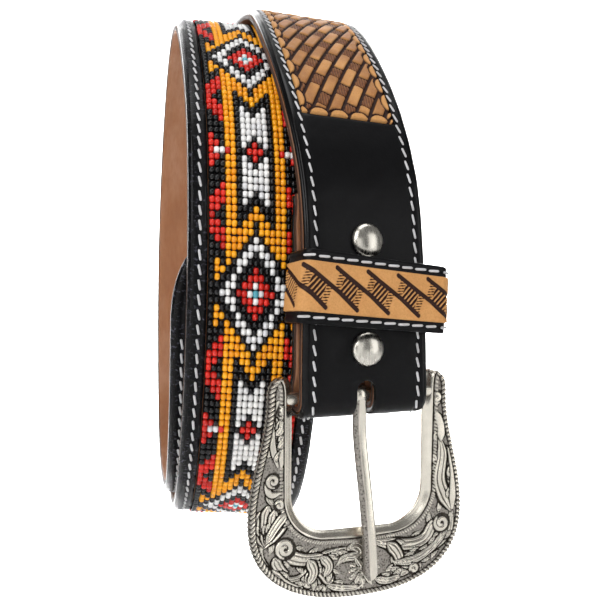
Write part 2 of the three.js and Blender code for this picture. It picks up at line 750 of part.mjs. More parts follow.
function prong() {
  const inner = barRadius + prongLoopGap;
  const ring = new THREE.Shape();
  ring.absarc(0, 0, inner + prongLoopWall, 0, 2 * Math.PI, false);
  const hole = new THREE.Path();
  hole.absarc(0, 0, inner, 0, 2 * Math.PI, true);
  ring.holes.push(hole);
  const loop = new THREE.ExtrudeGeometry(ring, {
    depth: prongWidth, bevelEnabled: false, curveSegments: prongSides - 1 });
  loop.translate(0, 0, -prongWidth / 2);
  loop.rotateY(Math.PI / 2);
  loop.translate(prongAside, 0, 0);
  const clear = new THREE.CylinderGeometry(inner, inner, 3 * prongWidth, 4 * (prongSides - 1));
  clear.rotateZ(Math.PI / 2);
  const body = toSolid(prongShank(), bucklePlacement).subtract(toSolid(clear, bucklePlacement));
  return toGeometry(body.add(toSolid(loop, bucklePlacement)));
}

const group = new THREE.Group();
function addPiece(name, geometry, colour, roughness, metalness) {
  const material = new THREE.MeshStandardMaterial({ color: colour, roughness, metalness });
  const mesh = new THREE.Mesh(geometry, material);
  mesh.name = name;
  group.add(mesh);
  return mesh;
}

addPiece('strap_face', strapFace(), 0x141416, 0.4, 0);
addPiece('strap_lining', strapLining(), 0xa9784a, 0.7, 0);
addPiece('bead_panel', windowBand(beadStart, beadEnd, beadWindowWidth, beadProud), 0xd88a1c, 0.3, 0);
addPiece('tooled_inlay_buckle', windowBand(toolBuckleStart, toolBuckleEnd, toolWindowWidth, toolProud),
  0xc58a50, 0.6, 0);
addPiece('tooled_inlay_tip', windowBand(toolTipStart, toolTipEnd, toolWindowWidth, toolProud),
  0xc58a50, 0.6, 0);
addPiece('keeper_band', keeperBand(), 0x141416, 0.4, 0);
addPiece('keeper_inlay', keeperInlay(), 0xc58a50, 0.6, 0);
addPiece('rivet_lower', rivet(rivetStations[0]), 0xc8c6c2, 0.2, 1);
addPiece('rivet_upper', rivet(rivetStations[1]), 0xc8c6c2, 0.2, 1);

addPiece('buckle_frame', buckleFrame(), 0xb9b8b4, 0.25, 1);
addPiece('prong', prong(), 0xc8c6c2, 0.2, 1);

export default group;
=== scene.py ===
# Looks of the beaded western belt: leather, loomed beads, tooled inlays and the engraved buckle.
# Sizes are in millimetres and turn to metres when a mesh is made.
import math

import bpy
import numpy as np
from mathutils import Matrix, Vector


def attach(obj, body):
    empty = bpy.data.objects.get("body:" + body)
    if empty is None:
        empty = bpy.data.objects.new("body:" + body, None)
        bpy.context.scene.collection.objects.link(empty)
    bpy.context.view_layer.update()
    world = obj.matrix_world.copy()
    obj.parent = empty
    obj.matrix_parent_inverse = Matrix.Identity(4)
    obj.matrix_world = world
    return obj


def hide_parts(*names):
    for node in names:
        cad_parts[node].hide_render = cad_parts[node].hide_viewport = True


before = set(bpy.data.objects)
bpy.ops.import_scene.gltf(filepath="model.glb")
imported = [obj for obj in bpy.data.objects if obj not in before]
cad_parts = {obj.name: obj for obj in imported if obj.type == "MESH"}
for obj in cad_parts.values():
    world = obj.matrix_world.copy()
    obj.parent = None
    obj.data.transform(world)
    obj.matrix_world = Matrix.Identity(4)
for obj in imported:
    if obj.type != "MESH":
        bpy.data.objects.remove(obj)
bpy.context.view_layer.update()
MM = 0.001

# Strap leather
STRAP_WIDTH = 38.1
FACE = 1.9
LINING = 1.4
FIT_GAP = 0.3
THICKNESS = FACE + FIT_GAP + LINING
HALF = STRAP_WIDTH / 2

# Roll
COIL_RADIUS = 77
TURN_PITCH = 5
BELT_LENGTH = 1027.7
TIP_LENGTH = 24
TIP_NOSE = 7
HANG_ANGLE = 458

# Buckle end
BAR_ANGLE = -26.35
BAR_RADIUS = 1.9
BAR_CLEARANCE = 0.35
BEND_RADIUS = BAR_RADIUS + BAR_CLEARANCE + THICKNESS
BEND_LENGTH = math.pi * BEND_RADIUS
FLAP_LENGTH = 57
FLAP_CLOSE_LENGTH = 7
SLOT_WIDTH = 5.4
SLOT_RISE = 4.8
SLOT_BACK_RISE = 7.2
LOWER_RIVET_AT = 13.8
RIVET_SPACING = 30
RIVET_CAP_RADIUS = 4.85
RIVET_CAP_HEIGHT = 2.5
RIVET_BACK_RADIUS = 3.6
RIVET_CLEARANCE = 0.5
KEEPER_WIDTH = 18.8
KEEPER_THICKNESS = 1.9
KEEPER_BACK = 1.3
KEEPER_ROOM = 5
KEEPER_SIDE = HALF + 3.4
KEEPER_TILT = 4
KEEPER_CORNER = 2.4
KEEPER_ASIDE = -0.4
KEEPER_AT = LOWER_RIVET_AT + RIVET_SPACING / 2
KEEPER_INLAY_HEIGHT = 12.8
KEEPER_INLAY_DROP = 10.5
INLAY_PROUD = 0.35

# Windows
BEAD_HALF = 13.6
TOOL_HALF = 14.9
TOOL_BUCKLE = (81.8, 240)
BEADS = (252, 716)
TOOL_TIP = (728, 846)
HOLE_RADIUS = 2.6
HOLE_PITCH = 25.4
MIDDLE_HOLE_AT = 914.4
HOLES = [MIDDLE_HOLE_AT + k * HOLE_PITCH for k in (-2, -1, 0, 1, 2)]

# Seed beads
BEAD_COLUMNS = 17
BEAD_PITCH = 1.563
BEAD_ROW = 2.1556
BEAD_LIFT = -0.3
PATTERN_SHIFT = 11.62

# Stitches
STITCH_INSET = 3.2
STITCH_PITCH = 4.15
STITCH_LENGTH = 3.1
STITCH_SLANT = 13
THREAD = 0.72
STITCH_LIFT = -0.02

COIL_OUTLINE = [0.925, 0.925, 0.925, 1.008, 1.052, 1.005, 0.978, 1.001, 1.066, 1.057, 1.06, 0.996]

# Route of the strap: angle, across (share of the strap's width), lift (share of the turn's pitch), yaw, tilt
ROUTE = np.array([
    (-45, 0.928, 3.45, 14.3, 6.5),
    (-20, 0.829, 1.9, 14.8, 4),
    (5, 0.778, 1.28, 19.2, 0.5),
    (17, 0.737, 1.15, 18.6, 0),
    (30, 0.665, 1.06, 17.5, 0),
    (60, 0.528, 0.96, 16.4, 0),
    (90, 0.46, 0.94, 16, 0),
    (120, 0.373, 1.34, 11, 0),
    (180, 0.19, 1.24, 5.5, 0),
    (270, 0.084, 0.26, 3.8, 0),
    (360, 0, 0, 3.6, 0),
    (450, -0.121, -0.02, 3.8, 0),
    (540, -0.08, -0.2, 2.8, 0),
    (630, 0.01, -0.86, 1.8, 0),
    (720, -0.113, -1.05, 0.8, 0),
    (770, -0.16, -1.05, 0, 0),
])


def spline(xs, ys):
    """Natural cubic spline through (xs, ys)."""
    xs = np.asarray(xs, float)
    ys = np.asarray(ys, float)
    n = len(xs)
    gap = np.diff(xs)
    system = np.zeros((n, n))
    known = np.zeros(n)
    system[0, 0] = system[-1, -1] = 1
    for i in range(1, n - 1):
        system[i, i - 1:i + 2] = gap[i - 1], 2 * (gap[i - 1] + gap[i]), gap[i]
        known[i] = 6 * ((ys[i + 1] - ys[i]) / gap[i] - (ys[i] - ys[i - 1]) / gap[i - 1])
    second = np.linalg.solve(system, known)

    def value(x):
        x = np.asarray(x, float)
        i = np.clip(np.searchsorted(xs, x) - 1, 0, n - 2)
        a = (xs[i + 1] - x) / gap[i]
        b = (x - xs[i]) / gap[i]
        bend = (a ** 3 - a) * second[i] + (b ** 3 - b) * second[i + 1]
        return a * ys[i] + b * ys[i + 1] + bend * gap[i] ** 2 / 6
    return value


outline_angles = np.concatenate([np.arange(12) * 30.0 + turn for turn in (-360, 0, 360)])
outline_share = spline(outline_angles, COIL_OUTLINE * 3)
across_at, lift_at, yaw_at, tilt_at = (spline(ROUTE[:, 0], ROUTE[:, k]) for k in (1, 2, 3, 4))


def unit(v):
    return v / np.linalg.norm(v, axis=-1, keepdims=True)


def smoothstep(x):
    t = np.clip(x, 0, 1)
    return t * t * (3 - 2 * t)


def coil_point(angle):
    """Outer surface of the strap's middle line, with the roll's centre as origin."""
    angle = np.asarray(angle, float)
    radius = outline_share(np.mod(angle, 360)) * COIL_RADIUS + lift_at(angle) * TURN_PITCH
    turn = np.radians(angle)
    return np.stack([across_at(angle) * STRAP_WIDTH, -radius * np.cos(turn), radius * np.sin(turn)], -1)


hang_top = coil_point(HANG_ANGLE)
COIL_CENTRE = np.array([-hang_top[0], -hang_top[1], THICKNESS - hang_top[2]])


def coil_frame(angle):
    along = unit(coil_point(angle + 0.5) - coil_point(angle - 0.5))
    yaw = np.radians(yaw_at(angle))
    tilt = np.radians(tilt_at(angle))
    across = np.stack([np.cos(yaw) * np.cos(tilt), np.sin(yaw) * np.cos(tilt), np.sin(tilt)], -1)
    return coil_point(angle) + COIL_CENTRE, across, unit(np.cross(across, along))


arc_angles = np.arange(BAR_ANGLE, BAR_ANGLE + 790, 0.25)
arc_steps = np.linalg.norm(np.diff(coil_point(arc_angles), axis=0), axis=1)
arc_lengths = np.concatenate([[0], np.cumsum(arc_steps)])


def route_angle(s):
    return np.interp(s, arc_lengths, arc_angles)


def flap_offset(height):
    """How far the flap's outer face lies behind the strap's outer face."""
    closed = 2 * THICKNESS + FIT_GAP
    over_keeper = closed + KEEPER_BACK + FIT_GAP
    rivet_space = RIVET_BACK_RADIUS + RIVET_CLEARANCE
    from_bar = 1 - smoothstep(height / (LOWER_RIVET_AT - rivet_space))
    closing = smoothstep((height - LOWER_RIVET_AT - RIVET_SPACING - rivet_space) / FLAP_CLOSE_LENGTH)
    return over_keeper + (2 * BEND_RADIUS - over_keeper) * from_bar + (closed - over_keeper) * closing


bar_point, bar_across, bar_outward = (row[0] for row in coil_frame(np.array([BAR_ANGLE])))
bar_up = unit(np.cross(bar_outward, bar_across))
bar_centre = bar_point - bar_outward * BEND_RADIUS


def strap_frame(s):
    """Point, across and outward of the strap's outer face at s from the bar. Negative s rounds the bar."""
    s = np.asarray(s, float)
    height = -s - BEND_LENGTH
    point, across, outward = coil_frame(route_angle(np.where(s >= 0, s, np.maximum(height, 0))))
    bend = (s < 0) & (height <= 0)
    turn = -s[bend] / BEND_RADIUS
    radial = bar_outward * np.cos(turn)[:, None] - bar_up * np.sin(turn)[:, None]
    point[bend] = bar_centre + radial * BEND_RADIUS
    across[bend] = bar_across
    outward[bend] = radial
    flap = height > 0
    h = height[flap]
    up = unit(np.cross(outward[flap], across[flap]))
    slope = (flap_offset(h + 0.5) - flap_offset(h - 0.5))[:, None]
    point[flap] -= outward[flap] * flap_offset(h)[:, None]
    outward[flap] = unit(-outward[flap] - up * slope)
    return point, across, outward


def strap_point(s, w, n):
    """Points of the strap: s along it, w across it, n outward from its outer face."""
    s, w, n = (np.asarray(a, float) for a in np.broadcast_arrays(s, w, n))
    point, across, outward = strap_frame(s.ravel())
    spot = point + across * w.reshape(-1, 1) + outward * n.reshape(-1, 1)
    return spot.reshape(s.shape + (3,))


def tip_share(s):
    t = np.clip(1 - (BELT_LENGTH - s) / TIP_LENGTH, 0, 1)
    nose = TIP_NOSE / HALF
    return nose + (1 - nose) * np.sqrt(1 - t * t)


# Meshes

def make_mesh(name, points, faces, body, finish, replaced=(), values=None, place=None):
    """A smooth mesh from points in millimetres, riding on a body. values are per-point numbers."""
    mesh = bpy.data.meshes.new(name)
    faces = np.asarray(faces)
    used, renamed = np.unique(faces, return_inverse=True)
    faces = renamed.reshape(faces.shape)
    mesh.vertices.add(len(used))
    mesh.vertices.foreach_set("co", (points[used] * MM).astype(np.float32).ravel())
    mesh.loops.add(faces.size)
    mesh.loops.foreach_set("vertex_index", faces.ravel().astype(np.int32))
    mesh.polygons.add(len(faces))
    mesh.polygons.foreach_set("loop_start", (np.arange(len(faces)) * faces.shape[1]).astype(np.int32))
    mesh.polygons.foreach_set("use_smooth", np.ones(len(faces), bool))
    for key, data in (values or {}).items():
        layer_data = mesh.attributes.new(key, "FLOAT", "POINT")
        layer_data.data.foreach_set("value", np.asarray(data, np.float32)[used])
    if place is not None:
        layer_data = mesh.attributes.new("place", "FLOAT_VECTOR", "POINT")
        layer_data.data.foreach_set("vector", (place[used] * MM).astype(np.float32).ravel())
    mesh.update(calc_edges=True)
    mesh.validate()
    obj = bpy.data.objects.new(name, mesh)
    bpy.context.scene.collection.objects.link(obj)
    mesh.materials.append(finish)
    return dress(obj, body, replaced)


def dress(obj, body, replaced=()):
    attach(obj, body)
    if replaced:
        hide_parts(*replaced)
    return obj


def grid_faces(rows, columns, closed=False, first=0):
    """Quads of a grid of points in row order. A closed grid joins its last column to its first."""
    i = np.arange(rows - 1)[:, None]
    j = np.arange(columns if closed else columns - 1)[None, :]
    k = (j + 1) % columns
    corners = [i * columns + j, i * columns + k, (i + 1) * columns + k, (i + 1) * columns + j]
    return np.stack(corners, -1).reshape(-1, 4) + first


def layer(rows, columns, filled, top, bottom, rim, levels=5):
    """A leather layer over the nodes (rows, columns) with rounded walls wherever filled cells end.
    Returns points, faces, place (s, w, n) and how far each point lies on a wall."""
    s = np.repeat(rows[:, None], columns.shape[1], 1)
    w = columns
    f = np.pad(filled.astype(int), 1)
    before_left, before_right, after_left, after_right = f[:-1, :-1], f[:-1, 1:], f[1:, :-1], f[1:, 1:]
    toward_s = before_left + before_right - after_left - after_right
    toward_w = before_left + after_left - before_right - after_right
    around = before_left + before_right + after_left + after_right
    length = np.hypot(toward_s, toward_w)
    wall = (around > 0) & (around < 4) & (length > 0)
    length[length == 0] = 1
    toward_s = np.where(wall, toward_s / length, 0)
    toward_w = np.where(wall, toward_w / length, 0)
    size = rim(s, w)
    t = top(s, w)
    b = bottom(s, w)
    spots = []
    for k in range(levels + 1):
        phi = math.pi * k / levels
        shift = size * (math.sin(phi) - 1)
        n = b + (t - b) * (1 + math.cos(phi)) / 2
        spots.append(np.stack([s + toward_s * shift, w + toward_w * shift, n], -1).reshape(-1, 3))
    place = np.concatenate(spots)
    count = s.size
    columns_count = s.shape[1]
    i, j = np.nonzero(filled)
    node = i * columns_count + j
    right, beyond_right, beyond = node + 1, node + columns_count + 1, node + columns_count
    faces = [np.stack([node, right, beyond_right, beyond], -1),
             np.stack([node, beyond, beyond_right, right], -1) + levels * count]
    for di, dj, start, end in ((-1, 0, node, right), (0, 1, right, beyond_right),
                               (1, 0, beyond_right, beyond), (0, -1, beyond, node)):
        open_side = f[i + 1 + di, j + 1 + dj] == 0
        p, q = start[open_side], end[open_side]
        for upper in range(0, levels * count, count):
            lower = upper + count
            faces.append(np.stack([q + upper, p + upper, p + lower, q + lower], -1))
    faces = np.concatenate(faces)
    on_wall = np.concatenate([np.full(count, 0.0 if k in (0, levels) else 1.0) for k in range(levels + 1)])
    points = strap_point(place[:, 0], place[:, 1], place[:, 2])
    return points, faces, place, on_wall


def marks(*spans):
    """Values from (start, end, step) spans, joined."""
    parts = [np.linspace(a, b, max(2, int(round((b - a) / step)) + 1)) for a, b, step in spans]
    return np.unique(np.round(np.concatenate(parts), 4))


# Node trees for materials

def colour(hexcode):
    """Linear colour of an sRGB hex code."""
    parts = [int(hexcode[k:k + 2], 16) / 255 for k in (1, 3, 5)]
    linear = [c / 12.92 if c <= 0.04045 else ((c + 0.055) / 1.055) ** 2.4 for c in parts]
    return (*linear, 1.0)


class Shader:
    """A material with a Principled surface, and short helpers for its nodes."""

    def __init__(self, name, **settings):
        self.material = bpy.data.materials.new(name)
        self.material.use_nodes = True
        self.nodes = self.material.node_tree.nodes
        self.links = self.material.node_tree.links
        self.surface = self.nodes["Principled BSDF"]
        self.set(**settings)
        self.place = None

    def set(self, **settings):
        for key, value in settings.items():
            socket = self.surface.inputs[key.replace("_", " ").title().replace("Ior", "IOR")]
            self.feed(socket, value)

    def feed(self, socket, value):
        if isinstance(value, bpy.types.NodeSocket):
            self.links.new(value, socket)
        else:
            socket.default_value = value

    def node(self, kind, settings=None, **inputs):
        made = self.nodes.new(kind)
        for key, value in (settings or {}).items():
            setattr(made, key, value)
        for key, value in inputs.items():
            self.feed(made.inputs[int(key[1:]) if key[1:].isdigit() else key.replace("_", " ")], value)
        return made

    def attribute(self, name, part="Fac"):
        return self.node("ShaderNodeAttribute", {"attribute_name": name}).outputs[part]

    def object_place(self):
        return self.node("ShaderNodeTexCoord").outputs["Object"]

    def noise(self, vector, size, detail=3.0, roughness=0.5):
        """Noise whose blotches are about size millimetres."""
        made = self.node("ShaderNodeTexNoise", Vector=vector, Scale=1 / (size * MM), Detail=detail,
                         Roughness=roughness)
        return made.outputs["Fac"]

    def cells(self, vector, size, feature="F1"):
        made = self.node("ShaderNodeTexVoronoi", {"feature": feature}, Vector=vector, Scale=1 / (size * MM))
        return made.outputs["Distance"]

    def stretch(self, vector, scale):
        made = self.node("ShaderNodeMapping", Vector=vector, Scale=scale)
        return made.outputs["Vector"]

    def ramp(self, value, *stops):
        """Colours or greys by value: stops are (position, hex) or (position, number)."""
        made = self.node("ShaderNodeValToRGB", Fac=value)
        elements = made.color_ramp.elements
        while len(elements) < len(stops):
            elements.new(0.5)
        for element, (position, tone) in zip(elements, stops):
            element.position = position
            element.color = colour(tone) if isinstance(tone, str) else (tone, tone, tone, 1)
        return made.outputs["Color"]

    def mix(self, share, first, second, blend="MIX"):
        made = self.node("ShaderNodeMix", {"data_type": "RGBA", "blend_type": blend})
        self.feed(made.inputs["Factor"], share)
        self.feed(made.inputs[6], first)
        self.feed(made.inputs[7], second)
        return made.outputs[2]

    def maths(self, operation, first, second=0.0, clamp=False):
        made = self.node("ShaderNodeMath", {"operation": operation, "use_clamp": clamp})
        self.feed(made.inputs[0], first)
        self.feed(made.inputs[1], second)
        return made.outputs[0]

    def bump(self, height, depth, strength=1.0, under=None):
        """Adds a bump of depth millimetres to the surface."""
        made = self.node("ShaderNodeBump", Height=height, Strength=strength, Distance=depth * MM)
        if under is not None:
            self.links.new(under, made.inputs["Normal"])
        self.links.new(made.outputs["Normal"], self.surface.inputs["Normal"])
        return made.outputs["Normal"]


def black_leather():
    """Drum-dyed, waxed cowhide: near black, fine pores, glossy burnished edges, and grey crease patches that
    are partly lighter pulled leather and partly painted sheen on the wrinkles.
    """
    m = Shader("black bridle leather", specular_ior_level=0.11)
    place = m.attribute("place", "Vector")
    grain = m.noise(place, 0.5, 5, 0.6)
    broad = m.noise(place, 14, 3)
    rim = m.attribute("rim")
    tone = m.mix(broad, colour("#060607"), colour("#0D0D0F"))
    tone = m.mix(m.ramp(grain, (0.55, 0.0), (0.8, 0.3)), tone, colour("#1C1C20"))
    creases = m.noise(m.stretch(place, (1, 0.6, 1)), 0.75, 3, 0.55)
    patches = m.ramp(m.noise(place, 17, 2), (0.38, 0.0), (0.55, 1.0))
    along = m.node("ShaderNodeSeparateXYZ", Vector=place).outputs["X"]
    where = m.maths("MULTIPLY", patches, m.ramp(along, (0.25, 0.0), (0.28, 1.0)))
    pull_and_sheen = m.maths("MULTIPLY", m.ramp(creases, (0.56, 0.0), (0.7, 1.0)), where)
    tone = m.mix(rim, tone, colour("#050506"))
    # Crease patches are mixed towards grey #565662: partly the lighter colour of pulled leather, partly
    # painted sheen on the wrinkles.
    m.set(base_color=m.mix(m.maths("MULTIPLY", pull_and_sheen, 0.7), tone, colour("#565662")))
    gloss = m.maths("ADD", m.maths("MULTIPLY", grain, 0.3), 0.26)
    m.set(roughness=m.mix(rim, gloss, (0.22, 0.22, 0.22, 1)))
    m.set(coat_weight=m.mix(rim, (0.02, 0.02, 0.02, 1), (0.14, 0.14, 0.14, 1)), coat_roughness=0.18)
    pores = m.cells(m.stretch(place, (1, 1.4, 1)), 0.9)
    first = m.bump(m.noise(place, 5, 4), 0.2, 0.5)
    second = m.bump(grain, 0.05, 0.5, first)
    third = m.bump(pull_and_sheen, 0.25, 0.8, second)
    m.bump(pores, 0.03, 0.35, third)
    return m.material


def tan_lining():
    """Natural vegetable-tanned leather: brown and dry, with long soft stretch marks and darker patches."""
    m = Shader("natural lining leather", specular_ior_level=0.3)
    place = m.attribute("place", "Vector")
    patches = m.noise(m.stretch(place, (0.4, 1, 1)), 22, 4)
    fibre = m.noise(m.stretch(place, (0.25, 1, 1)), 1.0, 4, 0.7)
    tone = m.ramp(patches, (0.3, "#83553A"), (0.5, "#956646"), (0.68, "#A87E63"))
    tone = m.mix(m.ramp(fibre, (0.35, 0.0), (0.75, 0.28)), tone, colour("#6F452D"))
    rim = m.attribute("rim")
    m.set(base_color=m.mix(rim, tone, colour("#3A2216")))
    m.set(roughness=m.ramp(fibre, (0.3, 0.5), (0.8, 0.72)))
    first = m.bump(patches, 0.3, 0.3)
    m.bump(fibre, 0.05, 0.5, first)
    return m.material


def thread():
    """Waxed white sewing thread, three strands twisted."""
    m = Shader("waxed white thread", specular_ior_level=0.35)
    place = m.object_place()
    fuzz = m.noise(place, 0.35, 3)
    tint = m.attribute("tint")
    tone = m.mix(fuzz, colour("#A9A9AE"), colour("#DDDCDC"))
    m.set(base_color=m.mix(m.maths("MULTIPLY", tint, 0.35), tone, colour("#8B8883")), roughness=0.65)
    m.bump(fuzz, 0.08, 0.6)
    return m.material


def bead_glass(name, base, dark, rough=0.13):
    """Opaque pressed-glass seed beads: glossy, each a little lighter or darker, with faint darker clouds."""
    m = Shader(name, roughness=rough, specular_ior_level=0.4)
    tint = m.attribute("tint")
    place = m.object_place()
    cloud = m.noise(place, 0.8, 2)
    tone = m.mix(tint, colour(base), colour(dark))
    m.set(base_color=m.mix(m.maths("MULTIPLY", cloud, 0.3), tone, colour(dark)))
    m.bump(cloud, 0.03, 0.3)
    return m.material


def loom_thread():
    """Dark waxed loom thread and the cloth it is backed with."""
    m = Shader("dark loom thread", roughness=0.7)
    place = m.attribute("place", "Vector")
    weave = m.noise(m.stretch(place, (3, 1, 1)), 0.8, 3)
    m.set(base_color=m.mix(weave, colour("#0B0A0A"), colour("#2A2322")))
    m.bump(weave, 0.1, 0.6)
    return m.material


def tooled_leather():
    """Tan tooling leather with stamped relief: light on the raised parts, dark antique dye in the cuts."""
    m = Shader("tooled saddle leather", specular_ior_level=0.25)
    place = m.attribute("place", "Vector")
    relief = m.attribute("relief")
    shade = m.attribute("shade")
    grain = m.noise(place, 0.45, 5, 0.65)
    blotch = m.noise(place, 6, 4)
    wear = m.noise(place, 2.2, 4, 0.6)
    tone = m.mix(blotch, colour("#BA834A"), colour("#D39D61"))
    tone = m.mix(m.ramp(grain, (0.42, 0.0), (0.75, 0.5)), tone, colour("#9C6A38"))
    tone = m.mix(m.maths("MULTIPLY", shade, m.ramp(wear, (0.3, 1.0), (0.8, 0.55))), tone, colour("#7A4524"))
    tone = m.mix(m.ramp(relief, (0.28, 1.0), (0.8, 0.0)), tone, colour("#2A120B"))
    m.set(base_color=tone)
    m.set(roughness=m.ramp(relief, (0.1, 0.6), (0.8, 0.5)))
    first = m.bump(grain, 0.14, 0.6)
    m.bump(wear, 0.12, 0.5, first)
    return m.material


def antique_nickel():
    """Cast zinc with nickel plate, polished on the heights and blackened in the recesses."""
    m = Shader("antique nickel plate", metallic=1.0)
    place = m.object_place()
    relief = m.attribute("relief")
    stipple = m.cells(place, 0.62)
    smudge = m.noise(place, 3, 4)
    bright = m.mix(smudge, colour("#C2BDB1"), colour("#E0DACE"))
    pitted = m.ramp(stipple, (0.1, "#3E3A35"), (0.5, "#96918A"))
    plain = m.mix(m.ramp(relief, (0.35, 1.0), (0.6, 0.0)), bright, pitted)
    m.set(base_color=m.mix(m.ramp(relief, (0.08, 1.0), (0.24, 0.0)), plain, colour("#2B2722")))
    m.set(roughness=m.ramp(relief, (0.3, 0.5), (0.7, 0.27)))
    ground = m.maths("MULTIPLY", stipple, m.ramp(relief, (0.35, 1.0), (0.55, 0.0)))
    first = m.bump(ground, 0.3, 0.9)
    m.bump(m.noise(place, 0.7, 3), 0.03, 0.5, first)
    return m.material


def bright_nickel():
    """Polished nickel plate with faint wipe marks."""
    m = Shader("bright nickel plate", metallic=1.0)
    place = m.object_place()
    wipe = m.noise(m.stretch(place, (1, 1, 0.2)), 0.8, 3)
    pits = m.noise(place, 0.6, 4)
    m.set(base_color=m.mix(wipe, colour("#B2AEA5"), colour("#D0CCC3")))
    m.set(roughness=m.ramp(wipe, (0.3, 0.22), (0.75, 0.34)))
    first = m.bump(m.noise(place, 2, 3), 0.02, 0.4)
    m.bump(pits, 0.03, 0.4, first)
    return m.material


BLACK = black_leather()
TAN = tan_lining()
THREAD_FINISH = thread()
LOOM = loom_thread()
TOOLED = tooled_leather()
ANTIQUE = antique_nickel()
BRIGHT = bright_nickel()


# Strap

FLAP_END = -BEND_LENGTH - FLAP_LENGTH
SLOT_START = -BEND_LENGTH - SLOT_BACK_RISE


def in_span(s, span):
    return (s > span[0]) & (s < span[1])


def hole_half(s):
    """Half width of the belt hole at s, nothing outside the holes."""
    offset = np.min(abs(np.asarray(s)[..., None] - np.array(HOLES)), axis=-1)
    chord = np.sqrt(np.clip(HOLE_RADIUS ** 2 - offset ** 2, 0.004, None))
    return np.where(offset < HOLE_RADIUS + 0.001, chord, 0)


def tip_rows(hole_step, step):
    """Spans of rows from the first belt hole to the tip, closer over the holes and the tip's curve."""
    spans = [(at - HOLE_RADIUS, at + HOLE_RADIUS, hole_step) for at in HOLES]
    spans += [(at + HOLE_RADIUS, at + HOLE_PITCH - HOLE_RADIUS, step) for at in HOLES[:-1]]
    tip_start = BELT_LENGTH - TIP_LENGTH
    return spans + [(HOLES[-1] + HOLE_RADIUS, tip_start, step), (tip_start, BELT_LENGTH, 0.8)]


def in_slot(s, w):
    return in_span(s, (SLOT_START, SLOT_RISE)) & (abs(w) < SLOT_WIDTH / 2)


def ripple(s, w, amplitude, length, seed):
    """Soft uneven waves of the leather's surface, the same in every build."""
    random = np.random.default_rng(seed)
    total = np.zeros(np.broadcast(s, w).shape)
    for _ in range(9):
        turn = random.uniform(0, math.pi)
        size = length * random.uniform(0.6, 1.7)
        phase = random.uniform(0, 2 * math.pi)
        total += np.sin(2 * math.pi * (s * math.cos(turn) + w * math.sin(turn)) / size + phase)
    return amplitude * total / 3


def strap_columns(rows, inner_steps):
    """Node places across the strap: even ones between the windows' edges, close ones over the borders."""
    half = HALF * tip_share(rows)
    window = np.where(in_span(rows, (246, 722)), BEAD_HALF, TOOL_HALF)
    window = window * half / HALF
    stitch = half - STITCH_INSET
    side = [window, window + 0.12, (window + stitch - 0.55) / 2 + 0.1, stitch - 0.55, stitch, stitch + 0.55,
            half - 1.9, half - 1.2, half - 0.55, half]
    middle = [window * k / inner_steps for k in range(inner_steps)]
    right = np.stack(middle[1:] + side, -1)
    return np.concatenate([-right[:, ::-1], 0 * right[:, :1], right], 1)


def face_top(s, w):
    """Height of the face leather: a channel for the stitches, soft borders and rounded edges."""
    half = HALF * tip_share(s)
    from_edge = half - abs(w)
    channel = -0.28 * np.exp(-((from_edge - STITCH_INSET) / 0.5) ** 2)
    rounding = -0.35 * np.clip(1 - from_edge / 1.6, 0, 1) ** 2
    return channel + rounding + ripple(s, w, 0.05, 9, 4)


def strap_face():
    step = 1.2
    stops = [SLOT_RISE, *TOOL_BUCKLE, *BEADS, *TOOL_TIP, HOLES[0] - HOLE_RADIUS]
    rows = marks((FLAP_END, SLOT_START, step), (SLOT_START, -BEND_LENGTH, step), (-BEND_LENGTH, 0, step / 2),
                 (0, SLOT_RISE, step / 2), *[(a, b, step) for a, b in zip(stops, stops[1:])],
                 *tip_rows(0.52, step))
    columns = strap_columns(rows, 6)
    middle = columns.shape[1] // 2
    pierced = hole_half(rows) > 0
    columns[pierced, middle + 1] = hole_half(rows)[pierced]
    columns[pierced, middle - 1] = -hole_half(rows)[pierced]
    slot_column = np.argmin(abs(columns[0] - SLOT_WIDTH / 2))
    near = (rows > SLOT_START - 6) & (rows < SLOT_RISE + 6)
    round_end = np.clip(1 - (SLOT_RISE - rows[near]) / (SLOT_WIDTH / 2), 0, 0.97)
    slot_half = SLOT_WIDTH / 2 * np.sqrt(1 - round_end ** 2)
    columns[near, slot_column] = slot_half
    columns[near, columns.shape[1] - 1 - slot_column] = -slot_half
    s = (rows[:-1, None] + rows[1:, None]) / 2
    w = (columns[:-1, :-1] + columns[1:, 1:]) / 2
    filled = ~(in_span(s, BEADS) & (abs(w) < BEAD_HALF))
    filled &= ~((in_span(s, TOOL_BUCKLE) | in_span(s, TOOL_TIP)) & (abs(w) < TOOL_HALF))
    filled &= ~in_slot(s, w)
    filled &= ~(abs(w) < hole_half(s))
    edge = HALF - 0.3

    def rim(s, w):
        return np.where(abs(w) > edge * tip_share(s), 0.6, 0.3)
    points, faces, place, wall = layer(rows, columns, filled, face_top, lambda s, w: 0 * s - FACE, rim)
    from_edge = HALF * tip_share(place[:, 0]) - abs(place[:, 1])
    wall = np.maximum(wall, smoothstep((2.1 - from_edge) / 0.8))
    return make_mesh("strap_face_leather", points, faces, "strap", BLACK, ["strap_face"],
                     {"rim": wall}, place)


